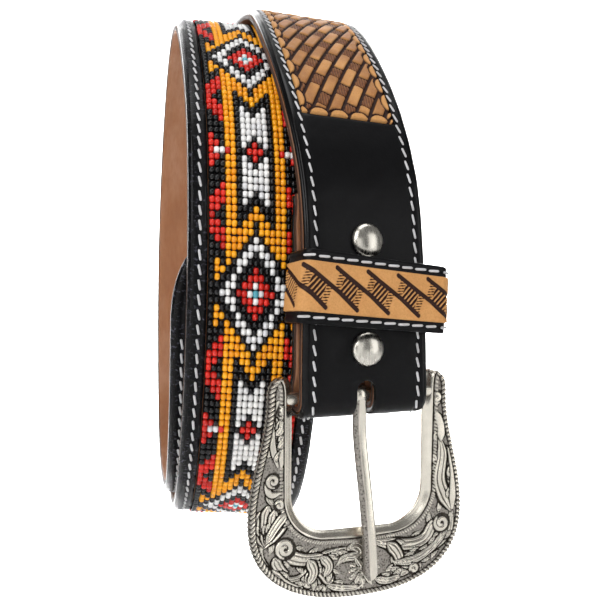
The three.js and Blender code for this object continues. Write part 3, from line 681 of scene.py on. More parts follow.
def strap_lining():
    step = 2.5
    rows = marks((FLAP_END, SLOT_START, step), (SLOT_START, SLOT_RISE, 1.0),
                 (SLOT_RISE, HOLES[0] - HOLE_RADIUS, step), *tip_rows(0.52, step))
    half = HALF * tip_share(rows)[:, None]
    slot_share = SLOT_WIDTH / 2 / HALF
    shares = np.array([-1, -0.96, -0.85, -0.6, -slot_share, slot_share, 0.6, 0.85, 0.96, 1])
    columns = half * shares[None, :]
    pierced = hole_half(rows) > 0
    columns[pierced, 4] = -hole_half(rows)[pierced]
    columns[pierced, 5] = hole_half(rows)[pierced]
    s = (rows[:-1, None] + rows[1:, None]) / 2
    w = (columns[:-1, :-1] + columns[1:, 1:]) / 2
    top = -FACE - FIT_GAP * 0.3
    points, faces, place, wall = layer(
        rows, columns, ~in_slot(s, w) & ~(abs(w) < hole_half(s)), lambda s, w: 0 * s + top,
        lambda s, w: -THICKNESS + ripple(s, w, 0.05, 14, 8), lambda s, w: 0 * s + 0.35, 4)
    return make_mesh("strap_lining_leather", points, faces, "strap", TAN, ["strap_lining"],
                     {"rim": wall}, place)


# What repeats: one shape set at many places by Geometry Nodes

def placing_tree():
    """Sets the shape at each point, turned and sized by the point's own values."""
    tree = bpy.data.node_groups.new("place pieces", "GeometryNodeTree")
    tree.interface.new_socket("Places", in_out="INPUT", socket_type="NodeSocketGeometry")
    tree.interface.new_socket("Shape", in_out="INPUT", socket_type="NodeSocketObject")
    tree.interface.new_socket("Finish", in_out="INPUT", socket_type="NodeSocketMaterial")
    tree.interface.new_socket("Pieces", in_out="OUTPUT", socket_type="NodeSocketGeometry")
    add = tree.nodes.new
    link = tree.links.new
    given = add("NodeGroupInput")
    shape = add("GeometryNodeObjectInfo")
    turn = add("GeometryNodeInputNamedAttribute")
    turn.data_type = "FLOAT_VECTOR"
    turn.inputs["Name"].default_value = "turn"
    size = add("GeometryNodeInputNamedAttribute")
    size.data_type = "FLOAT_VECTOR"
    size.inputs["Name"].default_value = "size"
    rotation = add("FunctionNodeEulerToRotation")
    setting = add("GeometryNodeInstanceOnPoints")
    real = add("GeometryNodeRealizeInstances")
    smooth = add("GeometryNodeSetShadeSmooth")
    finish = add("GeometryNodeSetMaterial")
    result = add("NodeGroupOutput")
    link(given.outputs["Shape"], shape.inputs["Object"])
    link(given.outputs["Places"], setting.inputs["Points"])
    link(shape.outputs["Geometry"], setting.inputs["Instance"])
    link(turn.outputs["Attribute"], rotation.inputs["Euler"])
    link(rotation.outputs["Rotation"], setting.inputs["Rotation"])
    link(size.outputs["Attribute"], setting.inputs["Scale"])
    link(setting.outputs["Instances"], real.inputs["Geometry"])
    link(real.outputs["Geometry"], smooth.inputs["Geometry"])
    link(smooth.outputs["Geometry"], finish.inputs["Geometry"])
    link(given.outputs["Finish"], finish.inputs["Material"])
    link(finish.outputs["Geometry"], result.inputs["Pieces"])
    return tree


PLACING = placing_tree()


def turned_shape(name, profile, sides):
    """A round shape along local X, from (x, radius) rows with closed ends."""
    around = np.arange(sides) * 2 * math.pi / sides
    rings = [np.stack([np.full(sides, x), r * np.cos(around), r * np.sin(around)], -1) for x, r in profile]
    points = np.concatenate(rings)
    mesh = bpy.data.meshes.new(name)
    quads = grid_faces(len(profile), sides, closed=True)
    caps = []
    if profile[0][1] != profile[-1][1] or profile[0][0] != profile[-1][0]:
        caps = [list(range(sides))[::-1], [(len(profile) - 1) * sides + k for k in range(sides)]]
    mesh.from_pydata([tuple(p * MM) for p in points], [], [tuple(q)[::-1] for q in quads] + caps)
    mesh.validate()
    return bpy.data.objects.new(name, mesh)


def scatter(name, shape, spots, axes, sizes, tints, body, finish, replaced=()):
    """Sets shape at spots. axes are the local X, Y and Z directions at each spot."""
    turns = [Matrix(np.stack(rows, 1).tolist()).to_euler() for rows in zip(*axes)]
    mesh = bpy.data.meshes.new(name)
    mesh.vertices.add(len(spots))
    mesh.vertices.foreach_set("co", (spots * MM).astype(np.float32).ravel())
    for key, data in (("turn", np.array([tuple(t) for t in turns])), ("size", sizes)):
        values = mesh.attributes.new(key, "FLOAT_VECTOR", "POINT")
        values.data.foreach_set("vector", np.asarray(data, np.float32).ravel())
    tint = mesh.attributes.new("tint", "FLOAT", "POINT")
    tint.data.foreach_set("value", np.asarray(tints, np.float32))
    host = bpy.data.objects.new(name, mesh)
    bpy.context.scene.collection.objects.link(host)
    modifier = host.modifiers.new("pieces", "NODES")
    modifier.node_group = PLACING
    sockets = {item.name: item.identifier for item in PLACING.interface.items_tree if item.in_out == "INPUT"}
    modifier[sockets["Shape"]] = shape
    modifier[sockets["Finish"]] = finish
    graph = bpy.context.evaluated_depsgraph_get()
    made = bpy.data.meshes.new_from_object(host.evaluated_get(graph), preserve_all_data_layers=True,
                                           depsgraph=graph)
    host.modifiers.remove(modifier)
    host.data = made
    made.name = name
    return dress(host, body, replaced)


def strap_axes(s):
    """Local directions on the strap: along it, across it, outward."""
    point, across, outward = strap_frame(np.asarray(s, float))
    along = unit(np.cross(outward, across))
    return along, across, outward


# Stitches

def capsule_profile(length, radius):
    rows = [(0, 0.35), (0.04, 0.75), (0.14, 1), (0.5, 1.0), (0.86, 1), (0.96, 0.75), (1, 0.35)]
    return [((x - 0.5) * length, r * radius) for x, r in rows]


def strap_stitches():
    """Both rows of stitches. Each leans a little across its row and beds into the channel."""
    count = int((BELT_LENGTH - TIP_LENGTH - 2 - FLAP_END - 4) / STITCH_PITCH)
    s_row = FLAP_END + 4 + (np.arange(count) + 0.5) * STITCH_PITCH
    random = np.random.default_rng(11)
    s = np.concatenate([s_row, s_row])
    side = np.repeat([-1, 1], count)
    w = side * (HALF - STITCH_INSET)
    along, across, outward = strap_axes(s)
    slant = np.radians(STITCH_SLANT + random.uniform(-3, 3, len(s)))[:, None]
    x = along * np.cos(slant) - across * np.sin(slant)
    z = outward
    y = np.cross(z, x)
    spots = strap_point(s, w, np.full(len(s), STITCH_LIFT))
    sizes = np.stack([random.uniform(0.94, 1.04, len(s)), np.ones(len(s)), np.full(len(s), 0.7)], -1)
    shape = turned_shape("stitch", capsule_profile(STITCH_LENGTH, THREAD / 2), 8)
    return scatter("face_stitches", shape, spots, (x, y, z), sizes, random.uniform(0, 1, len(s)), "strap",
                   THREAD_FINISH)


# Beads

BEAD_CHART = [
    "TWRRKWWKK", "WRRKWWKKK", "RRKKWKKOK", "RKKWKKOOK", "KKWWKOKOK", "KWWKOOKKK", "WWKOOORKK", "WKOOOORRK",
    "KOOOOORRR", "KOOKOOKRR", "OOKKOOKKR", "OKKKOOKRR", "KKWKOORRR", "KWWKOORRK", "WWWKOORKK", "WWWKOOKKK",
    "WWWKOOKKK", "KWWKOOKKR", "RKWKOOKRR", "RRKKORWWR",
]
BEAD_COLOURS = {
    "K": ("black bead glass", "#050506", "#0E0E10"),
    "O": ("orange bead glass", "#FAAE20", "#E58F14"),
    "W": ("white bead glass", "#F0EFEC", "#D4D4D6"),
    "R": ("red bead glass", "#DB2C21", "#B01C13"),
    "T": ("turquoise bead glass", "#69BCCB", "#3D8C9E"),
}
BEAD_PROFILE = [(-0.72, 0.5), (-0.62, 0.82), (-0.28, 1.02), (0.28, 1.02), (0.62, 0.82), (0.72, 0.5)]


def bead_letter(row, column):
    """Letter of the chart, which is mirrored about its first and last rows and about its middle column."""
    last = len(BEAD_CHART) - 1
    return BEAD_CHART[last - abs(last - row % (2 * last))][abs(column)]


def beads():
    middle_row = np.interp(360, arc_angles, arc_lengths) - PATTERN_SHIFT
    first = math.ceil((BEADS[0] + 1.2 - middle_row) / BEAD_ROW)
    last = math.floor((BEADS[1] - 1.2 - middle_row) / BEAD_ROW)
    random = np.random.default_rng(5)
    cells = [(r, c) for r in range(first, last + 1) for c in range(-8, 9)]
    letters = np.array([bead_letter(r, c) for r, c in cells])
    cells = np.array(cells, float)
    shape = turned_shape("bead", BEAD_PROFILE, 8)
    count = len(cells)
    s = middle_row + cells[:, 0] * BEAD_ROW + random.normal(0, 0.06, count)
    w = cells[:, 1] * BEAD_PITCH + random.normal(0, 0.03, count)
    n = BEAD_LIFT + random.normal(0, 0.05, count)
    spots = strap_point(s, w, n)
    along, across, outward = strap_axes(s)
    lean = random.normal(0, 0.05, count)[:, None]
    x = unit(across + along * lean)
    z = outward
    y = unit(np.cross(z, x))
    sizes = np.stack([random.normal(1, 0.03, count), random.normal(1.03, 0.03, count),
                      random.normal(0.98, 0.03, count)], -1)
    tints = random.uniform(0, 1, count) ** 2
    for letter, (name, base, dark) in BEAD_COLOURS.items():
        chosen = letters == letter
        finish = bead_glass(name, base, dark)
        scatter(name.split()[0] + "_beads", shape, spots[chosen], (x[chosen], y[chosen], z[chosen]),
                sizes[chosen], tints[chosen], "strap", finish,
                ["bead_panel"] if letter == "K" else ())


def bead_backing():
    """The loom's cloth under the beads."""
    rows = marks((BEADS[0] + 0.4, BEADS[1] - 0.4, 3))
    columns = np.repeat(np.array([[-13.25, -6, 0, 6, 13.25]]), len(rows), 0)
    filled = np.ones((len(rows) - 1, 4), bool)
    points, faces, place, wall = layer(rows, columns, filled, lambda s, w: 0 * s - 0.85,
                                       lambda s, w: 0 * s - FACE, lambda s, w: 0 * s + 0.2, 2)
    return make_mesh("bead_backing", points, faces, "strap", LOOM, (), {"rim": wall}, place)


# Basket weave tooling

WEAVE_TURN = 27.5
WEAVE_PERIOD = 15.6
WEAVE_COLUMN = 4.1
WEAVE_BAR = 9.8
WEAVE_U = 83.4
WEAVE_V = -46.5
MOON_PITCH = 7.6
LEFT_MOON = (87.5, 7.4)
RIGHT_MOON = (90.5, 7.8)


def weave(s, w):
    """Basket weave: height share and shade. Bars lie in slanted columns, each column half a period on."""
    turn = math.radians(WEAVE_TURN)
    u = s * math.cos(turn) + w * math.sin(turn) - WEAVE_U
    v = -s * math.sin(turn) + w * math.cos(turn) - WEAVE_V
    column = np.round(v / WEAVE_COLUMN)
    across = v - column * WEAVE_COLUMN
    along = (u - column * WEAVE_PERIOD / 2 + WEAVE_PERIOD / 2) % WEAVE_PERIOD - WEAVE_PERIOD / 2
    side = WEAVE_COLUMN / 2 - 0.3 - abs(across)
    on_bar = WEAVE_BAR / 2 - abs(along)
    bar = smoothstep(side / 0.4) * smoothstep(on_bar / 0.5)
    crown = 1 - 0.18 * (2 * across / WEAVE_COLUMN) ** 2
    gap = abs(abs(along) - WEAVE_PERIOD / 2)
    strip = smoothstep(side / 0.3) * smoothstep((2.65 - gap) / 0.3)
    hatch = 0.5 + 0.5 * np.cos(2 * math.pi * (across + along * 0.5) / 0.95)
    worn = np.maximum(smoothstep(0.4 + ripple(s, w, 0.6, 17, 31)), smoothstep((abs(w) - 6) / 5))
    height = np.maximum(bar * crown, strip * (0.42 + 0.35 * hatch))
    return height, np.maximum(np.maximum(0, strip - bar), 0.6 * worn * bar)


def scallops(along, depth, pitch, reach):
    """Half-moons whose flat side lies on the edge: height share by distance along the edge and in from it."""
    local = (along + pitch / 2) % pitch - pitch / 2
    inside = 1 - (local / (pitch * 0.47)) ** 2 - (depth / reach) ** 2
    return smoothstep(inside / 0.35), inside


def tooled_panel(name, span, fine_until, fine, coarse, replaced):
    rows = marks((span[0] + 0.3, fine_until, fine), (fine_until, span[1] - 0.3, coarse))
    half = TOOL_HALF - 0.15
    across = marks((-half, half, fine * 1.1))
    s = np.repeat(rows[:, None], len(across), 1)
    w = np.repeat(across[None, :], len(rows), 0)
    height, shade = weave(s, w)
    from_side = half - abs(w)
    count = np.where(w < 0, (s - LEFT_MOON[0]) / LEFT_MOON[1], (s - RIGHT_MOON[0]) / RIGHT_MOON[1])
    moon, inside = scallops(count * MOON_PITCH, from_side, MOON_PITCH, 2.0)
    clear = smoothstep((from_side - 0.3) / 0.3)
    height = np.where(inside > -0.55, moon * 0.95, height * clear)
    shade = np.where(inside > -0.55, 0.0, shade)
    end = np.minimum(s - span[0] - 0.3, span[1] - 0.3 - s)
    moon, inside = scallops(w + 2.8, end, 6.45, 2.4)
    height = np.where(inside > -0.5, moon * 0.95, height)
    shade = np.where(inside > -0.5, 0.0, shade)
    top = INLAY_PROUD - 0.85 + 0.95 * height + ripple(s, w, 0.03, 3, 21)
    outer = (from_side < 0.01) | (end < 0.01)
    top = np.where(outer, -FACE, top)
    place = np.stack([s, w, top], -1).reshape(-1, 3)
    points = strap_point(place[:, 0], place[:, 1], place[:, 2])
    faces = grid_faces(len(rows), len(across))
    return make_mesh(name, points, faces, "strap", TOOLED, replaced,
                     {"relief": height.ravel(), "shade": shade.ravel()}, place)


# Keeper

def keeper_point(x, y, z):
    """Points of the keeper: x across, y up, z outward, bent along the strap and turned a little."""
    turn = math.radians(KEEPER_TILT)
    x = x + KEEPER_ASIDE
    s = KEEPER_AT + y * math.cos(turn) - x * math.sin(turn)
    w = x * math.cos(turn) + y * math.sin(turn)
    return strap_point(s, w, z)


def loop_outline(side, low, high, corner, steps, bends):
    """Rounded rectangle in (x, z) from the middle of its back, right side first."""
    flat = side - corner
    points = [(flat * k / steps, low) for k in range(steps)]
    arcs = [(flat, low + corner, -90), (flat, high - corner, 0), (-flat, high - corner, 90),
            (-flat, low + corner, 180)]
    for index, (x, z, start) in enumerate(arcs):
        for k in range(bends + 1):
            turn = math.radians(start + 90 * k / bends)
            points.append((x + corner * math.cos(turn), z + corner * math.sin(turn)))
        if index == 1:
            points += [(flat - 2 * flat * k / (2 * steps), high) for k in range(1, 2 * steps)]
    points += [(-flat + flat * k / steps, low) for k in range(1, steps)]
    return np.array(points)


def keeper_band():
    back = -THICKNESS - FIT_GAP
    front = KEEPER_ROOM + KEEPER_THICKNESS
    outer = loop_outline(KEEPER_SIDE, back - KEEPER_BACK, front, KEEPER_CORNER, 8, 6)
    inner = loop_outline(KEEPER_SIDE - KEEPER_THICKNESS, back, KEEPER_ROOM, 0.6, 8, 6)
    half = KEEPER_WIDTH / 2
    section = [(half, 0.3), (half - 0.1, 0.12), (half - 0.45, 0), (half - 1.4, 0), (half - 1.8, 0.1),
               (half - 2.2, 0), (half - 3, 0)]
    ring = section + [(-y, share) for y, share in reversed(section)]
    ring += [(-half, 0.7), (-half + 0.15, 0.9), (-half + 0.5, 1), (half - 0.5, 1), (half - 0.15, 0.9),
             (half, 0.7)]
    ring = np.array(ring)
    share = ring[None, :, 1]
    x = outer[:, None, 0] * (1 - share) + inner[:, None, 0] * share
    z = outer[:, None, 1] * (1 - share) + inner[:, None, 1] * share
    y = np.broadcast_to(ring[None, :, 0], x.shape)
    points = keeper_point(x, y, z).reshape(-1, 3)
    rows = len(outer)
    faces = grid_faces(rows + 1, len(ring), closed=True) % (rows * len(ring))
    wall = np.broadcast_to((abs(ring[None, :, 0]) > half - 0.6) & (ring[None, :, 1] > 0.2), x.shape)
    place = np.stack([x, y, z], -1).reshape(-1, 3)
    return make_mesh("keeper_band_leather", points, faces, "strap", BLACK, ["keeper_band"],
                     {"rim": wall.ravel()}, place)


def keeper_face(u, y, lift):
    """Points on the keeper's front, u along it from its middle and round both corners, lift outward."""
    front = KEEPER_ROOM + KEEPER_THICKNESS
    flat = KEEPER_SIDE - KEEPER_CORNER
    quarter = math.pi / 2 * KEEPER_CORNER
    a = abs(u)
    turn = np.clip((a - flat) / KEEPER_CORNER, 0, math.pi / 2)
    beyond = np.maximum(a - flat - quarter, 0)
    x = np.minimum(a, flat) + (KEEPER_CORNER + lift) * np.sin(turn)
    z = front - KEEPER_CORNER + (KEEPER_CORNER + lift) * np.cos(turn) - beyond
    return keeper_point(np.sign(u) * x, y, z)


def keeper_inlay():
    reach = KEEPER_SIDE - KEEPER_CORNER + math.pi / 2 * KEEPER_CORNER + KEEPER_INLAY_DROP - KEEPER_CORNER
    u = marks((-reach, reach, 0.17))
    y = marks((-KEEPER_INLAY_HEIGHT / 2, KEEPER_INLAY_HEIGHT / 2, 0.17))
    uu = np.repeat(u[:, None], len(y), 1)
    yy = np.repeat(y[None, :], len(u), 0)
    relief = keeper_motif(uu, yy)
    edge = np.minimum(reach - abs(uu), KEEPER_INLAY_HEIGHT / 2 - abs(yy))
    lift = np.where(edge < 0.01, 0.02, 0.2 + 0.5 * relief * smoothstep((edge + 0.3) / 0.6))
    lift = lift + ripple(uu, yy, 0.03, 6, 13) * (edge > 0.01)
    points = keeper_face(uu, yy, lift).reshape(-1, 3)
    faces = grid_faces(len(u), len(y))[:, ::-1]
    place = np.stack([uu, yy, lift], -1).reshape(-1, 3)
    return make_mesh("keeper_inlay_leather", points, faces, "strap", TOOLED,
                     ["keeper_inlay"], {"relief": relief.ravel(), "shade": 0 * relief.ravel()}, place)


MOTIF_PITCH = 9.5


def segment_distance(x, y, start, end):
    """Distance from points to a line segment."""
    ax, ay = start
    bx, by = end
    dx, dy = bx - ax, by - ay
    t = np.clip(((x - ax) * dx + (y - ay) * dy) / (dx * dx + dy * dy), 0, 1)
    return np.hypot(x - ax - t * dx, y - ay - t * dy)


def keeper_motif(u, y):
    """Relief share of the keeper's inlay: long slanted bars with hatched blocks and combs between them."""
    local = (u - 0.3 + MOTIF_PITCH / 2) % MOTIF_PITCH - MOTIF_PITCH / 2
    cut = np.ones(u.shape)
    for shift in (-2, -1, 0, 1):
        x = local - shift * MOTIF_PITCH
        bar = np.minimum(segment_distance(x, y, (-4.1, 5.2), (6.6, -0.8)),
                         segment_distance(x, y, (6.6, -0.8), (12.5, -5.0)))
        cut = np.minimum(cut, smoothstep((bar - 0.46) / 0.26))
    above = y + 0.62 * local - 3.0
    below = y + 0.62 * local + 2.9
    between = smoothstep(-above / 0.2) * smoothstep(below / 0.2)
    slanted = local - 0.31 * (y + 0.4) + 0.15
    inside = smoothstep((2.6 - abs(slanted)) / 0.2) * between
    strokes = abs((local - 0.85 * y + 0.3) % 1.45 - 0.725)
    cut = np.minimum(cut, 1 - inside * smoothstep((strokes - 0.2) / 0.14))
    comb = smoothstep((4.6 - abs(slanted)) / 0.3) * (abs(slanted) > 2.6)
    lines = abs((y - 0.12 * local) % 0.72 - 0.36)
    cut = np.minimum(cut, 1 - comb * between * smoothstep((lines - 0.17) / 0.12))
    return cut


def keeper_stitches():
    random = np.random.default_rng(3)
    reach = KEEPER_SIDE - 0.5
    places = np.arange(-5, 6) * 4.3
    u = np.concatenate([places, places])
    y = np.repeat([1, -1], len(places)) * (KEEPER_WIDTH / 2 - 1.75)
    keep = abs(u) < reach
    u, y = u[keep], y[keep]
    spots = keeper_face(u, y, np.full(len(u), 0.12))
    ahead = unit(keeper_face(u + 0.4, y, 0.12) - keeper_face(u - 0.4, y, 0.12))
    up = unit(keeper_face(u, y + 0.4, 0.12) - keeper_face(u, y - 0.4, 0.12))
    z = unit(np.cross(ahead, up))
    slant = math.radians(4)
    x = ahead * math.cos(slant) + up * math.sin(slant)
    shape = turned_shape("keeper stitch", capsule_profile(3.5, THREAD / 2), 8)
    sizes = np.stack([random.uniform(0.95, 1.05, len(u)), np.ones(len(u)), np.full(len(u), 0.8)], -1)
    return scatter("keeper_stitches", shape, spots, (x, np.cross(z, x), z), sizes,
                   random.uniform(0, 1, len(u)), "strap", THREAD_FINISH)


# Rivets

def rivet(node, s):
    """Domed cap with a rolled rim, a post, and a flat back."""
    back = -float(flap_offset(np.array(s))) - FIT_GAP
    base = 0.1
    dome = RIVET_CAP_RADIUS * 0.985
    rows = [(0, back - 0.8), (RIVET_BACK_RADIUS - 0.3, back - 0.8), (RIVET_BACK_RADIUS, back - 0.5),
            (RIVET_BACK_RADIUS, back), (1.5, back), (1.5, base), (RIVET_CAP_RADIUS * 0.95, base),
            (RIVET_CAP_RADIUS, base + 0.25), (dome, base + 0.5)]
    for turn in np.linspace(0, math.pi / 2, 13)[1:]:
        rows.append((dome * math.cos(turn), base + 0.5 + (RIVET_CAP_HEIGHT - 0.4) * math.sin(turn)))
    sides = 40
    around = np.arange(sides) * 2 * math.pi / sides
    r = np.array(rows)
    x = r[:, 0, None] * np.cos(around)
    y = r[:, 0, None] * np.sin(around)
    z = np.repeat(r[:, 1, None], sides, 1)
    along, across, outward = strap_axes([s])
    centre = strap_frame(np.array([s]))[0][0]
    spots = centre + x[..., None] * across[0] + y[..., None] * along[0] + z[..., None] * outward[0]
    faces = grid_faces(len(rows), sides, closed=True)
    return make_mesh(node + "_cap", spots.reshape(-1, 3), faces, "strap", BRIGHT, [node])


# Buckle

FRAME_LEAN = -4
WINDOW_HALF = 20.3
WINDOW_DEPTH = 38
WINDOW_CORNER = 11
ARM_HALF = 27.4
ARM_REACH = 6
ARM_SHARE = 0.27
FRAME_HALF = 32.8
FRAME_DEPTH = 57.9
WIDEST_AT = 34
ROUNDNESS = 2.39
FRAME_THICKNESS = 4.4
FRAME_BACK = -1.6

hanging = unit(np.array([0, 0, -1.0]) + bar_across * bar_across[2])
hanging_front = -unit(np.cross(bar_across, hanging))
frame_down = hanging * math.cos(math.radians(FRAME_LEAN)) + hanging_front * math.sin(math.radians(FRAME_LEAN))
frame_front = unit(np.cross(frame_down, bar_across))


def buckle_point(x, y, z):
    """Points of the buckle: x along the bar, y down the frame, z towards the front."""
    x, y, z = (np.asarray(a, float)[..., None] for a in np.broadcast_arrays(x, y, z))
    return bar_centre + x * bar_across + y * frame_down + z * frame_front


def inner_edge(t):
    straight = WINDOW_DEPTH - WINDOW_CORNER
    quarter = math.pi / 2 * WINDOW_CORNER
    half = straight + quarter + WINDOW_HALF - WINDOW_CORNER
    side = np.where(t < 0.5, -1, 1)
    left = 2 * half * np.minimum(t, 1 - t)
    turn = np.clip((left - straight) / WINDOW_CORNER, 0, math.pi / 2)
    beyond = np.maximum(left - straight - quarter, 0)
    x = WINDOW_HALF - WINDOW_CORNER * (1 - np.cos(turn)) - beyond
    y = np.minimum(left, straight) + WINDOW_CORNER * np.sin(turn)
    return side * x, y


def outer_edge(t):
    side = np.where(t < 0.5, -1, 1)
    local = np.minimum(t, 1 - t)
    share = np.clip(local / ARM_SHARE, 0, 1)
    arm = ARM_HALF + (FRAME_HALF - ARM_HALF) * (1 - np.cos(share * math.pi)) / 2
    turn = np.clip((local - ARM_SHARE) / (0.5 - ARM_SHARE), 0, 1) * math.pi / 2
    power = 2 / ROUNDNESS
    x = np.where(local < ARM_SHARE, arm, FRAME_HALF * np.maximum(np.cos(turn), 0) ** power)
    y = np.where(local < ARM_SHARE, WIDEST_AT * share,
                 WIDEST_AT + (FRAME_DEPTH - WIDEST_AT) * np.sin(turn) ** power)
    return side * x, y


# Raised stems: half width at the start and end, lobes along it, engraved lines, points (x, y) on the frame
STEMS = [
    (1.1, 0.8, 3, 1, [(-22.7, 22.9), (-21.6, 27.4), (-22.1, 32.1), (-24.4, 36), (-27.6, 39.1),
                      (-29.4, 40.9)]),
    (0.6, 0.9, 0, 1, [(-29.2, 39.6), (-29.7, 43.2), (-28.1, 47.2), (-24.8, 50), (-20, 51.3), (-16.8, 50.4),
                      (-14, 47.2), (-9.1, 44.7), (-3.3, 43.6)]),
    (0.9, 0.4, 0, 1, [(-3.3, 43.6), (0, 43.5), (0.8, 45), (-1.6, 45.9), (-5.4, 46.6), (-6.8, 48)]),
    (1.2, 0.7, 2, 1, [(-22.6, 43.3), (-19.2, 44.8), (-15.6, 45.5), (-10.7, 44.9)]),
    (0.9, 0.5, 0, 1, [(-25.6, 44.4), (-24, 47.3), (-21.6, 49.6)]),
    (0.9, 1.0, 2, 1, [(-14, 47.2), (-10.7, 49.9), (-8.6, 52.8)]),
    (0.8, 0.6, 0, 0, [(-18.4, 51.7), (-15.5, 54.3), (-11.5, 53.7)]),
    (0.7, 0.6, 0, 0, [(-16.8, 50.4), (-15.5, 52.4), (-13.9, 51.8)]),
    (1.0, 0.8, 3, 1, [(5.4, 42.7), (11.8, 43.8), (17.9, 44), (21.7, 42), (23.4, 39), (26, 37.3)]),
    (1.0, 0.6, 2, 1, [(9.3, 43.5), (11.9, 46.1), (12.8, 49.4), (11.1, 51.9)]),
    (0.9, 0.7, 4, 1, [(29.5, 35.6), (28.3, 41.5), (24.4, 45.1), (19.2, 47.7), (15, 51.6), (9.8, 53.4)]),
    (0.8, 0.5, 0, 0, [(19.7, 46.9), (17.1, 49.8), (13.7, 50.3)]),
    (0.7, 1.3, 2, 1, [(25.1, 13.9), (26.1, 18.6), (25.6, 22.9), (25.4, 26), (26.8, 30.2), (29.2, 34.9)]),
    (0.5, 0.7, 0, 0, [(23.9, 6.3), (25.4, 9.9), (25.6, 14.3)]),
    (0.4, 0.6, 3, 0, [(28.2, 17.3), (29.6, 21.8), (30, 26.2), (29.9, 30.5), (29.7, 34.9)]),
    (0.4, 0.4, 0, 0, [(-24.7, 0.3), (-26, 2.5), (-26.6, 7.5), (-26.3, 12.9), (-24.9, 18.4)]),
    (0.4, 0.5, 3, 0, [(-21.8, 7.8), (-21.9, 11.8), (-23.3, 15.1), (-23.8, 18.4)]),
    (0.5, 1.0, 0, 1, [(-28.9, 40.3), (-30.2, 36), (-29.8, 31.1)]),
    (0.5, 1.0, 0, 1, [(-28.7, 40), (-28.4, 35), (-27.7, 29.6)]),
    (0.5, 0.9, 0, 1, [(-28.3, 39.7), (-26.6, 35), (-25.7, 30.8)]),
    (0.5, 0.8, 0, 1, [(-28, 39.4), (-24.8, 34.5), (-22.4, 32)]),
    (0.7, 0.4, 1, 1, [(-26.1, 47.7), (-22.6, 51.5), (-17.5, 53.8)]),
    (0.9, 0.5, 1, 1, [(-15.4, 46), (-13.9, 49.1), (-15.4, 52.4)]),
    (0.8, 0.4, 1, 1, [(-11.5, 45.3), (-9.2, 48.2), (-10.7, 50.6)]),
    (0.5, 0.4, 1, 1, [(-9.5, 53.6), (-4.5, 54.9), (0.5, 55.1)]),
    (0.7, 0.4, 2, 1, [(11.4, 49.1), (16.8, 49), (22, 46.8), (26.4, 43), (28.6, 39.5)]),
    (0.6, 0.4, 1, 1, [(5.5, 53.3), (9.2, 54.2), (13.2, 53.2)]),
    (0.4, 0.4, 0, 0, [(-25.6, 20.2), (-27.7, 22.7), (-27.0, 26.1), (-24.2, 25.7)]),
    (0.5, 0.3, 0, 1, [(-24.6, 13.0), (-22.8, 10.8), (-22.5, 8.5)]),
    (0.5, 0.3, 0, 1, [(-25.2, 9.5), (-23.8, 7.8), (-23.9, 5.8)]),
]

# Curls: centre (x, y), radius, turns, angle of the outer end, winding, half width
CURLS = [
    (-22.6, 41.7, 2.6, 1.6, 100, 1, 0.55),
    (26.2, 38.9, 2.3, 1.5, 230, -1, 0.5),
    (24.0, 2.0, 1.7, 1.4, 60, 1, 0.45),
    (-22.8, 3.1, 1.7, 1.4, 120, -1, 0.42),
    (-26.2, 22.4, 1.8, 1.3, 80, 1, 0.45),
    (-24.3, 29.2, 1.3, 1.1, 200, 1, 0.4),
    (23.0, 19.8, 1.2, 1.2, 20, -1, 0.35),
    (17.6, 51.6, 1.4, 1.3, 160, 1, 0.4),
]
FLOWER = (1.6, 50.2)
PETAL_TURNS = [-155, -125, 180, 155, 125, 95, -60, -30, -5, 25, 60]
PETAL_LENGTH = 4.8
STEM_SHARE = 1.5
ROPE_WIDTH = 1.9
ROPE_PITCH = 1.3
BEVEL_WIDTH = 2.7
ARM_APEX = 0.3


def smooth_line(points, count):
    """Points of a smooth curve through the given ones."""
    points = np.asarray(points, float)
    marks_along = np.concatenate([[0], np.cumsum(np.linalg.norm(np.diff(points, axis=0), axis=1))])
    t = np.linspace(0, marks_along[-1], count)
    return np.stack([spline(marks_along, points[:, k])(t) for k in (0, 1)], -1)


def band(x, y, line, start, end):
    """Distance from (x, y) to a curve as a share of the curve's half width there."""
    nearest = np.full(x.shape, 99.0)
    segments = len(line) - 1
    for k in range(segments):
        (ax, ay), (bx, by) = line[k], line[k + 1]
        dx, dy = bx - ax, by - ay
        t = np.clip(((x - ax) * dx + (y - ay) * dy) / (dx * dx + dy * dy), 0, 1)
        share = (k + t) / segments
        width = (start + (end - start) * share) * np.minimum(1, 0.35 + 3.5 * np.minimum(share, 1 - share))
        nearest = np.minimum(nearest, np.hypot(x - ax - t * dx, y - ay - t * dy) / width)
    return nearest


def raised(share, lines=0):
    """Height of a raised band by its width share, with engraved lines either side of its middle."""
    height = smoothstep((1.05 - share) / 0.25)
    if lines:
        height = height * (1 - 0.95 * smoothstep(1 - abs(share - 0.42) / 0.2))
    return height


def lobes(line, count, start, end):
    """Short leaf tips that leave a stem on alternate sides."""
    tips = []
    for k in range(count):
        at = int((k + 0.7) / (count + 0.4) * (len(line) - 1))
        along = line[min(at + 1, len(line) - 1)] - line[max(at - 1, 0)]
        along = along / np.linalg.norm(along)
        side = np.array([-along[1], along[0]]) * (1 if k % 2 else -1)
        width = start + (end - start) * at / len(line)
        foot = line[at]
        middle = foot + side * width * 1.2 + along * 0.9
        tips.append(np.array([foot, middle, foot + side * width * 1.9 + along * 2.6]))
    return tips


GROUND = 0.36


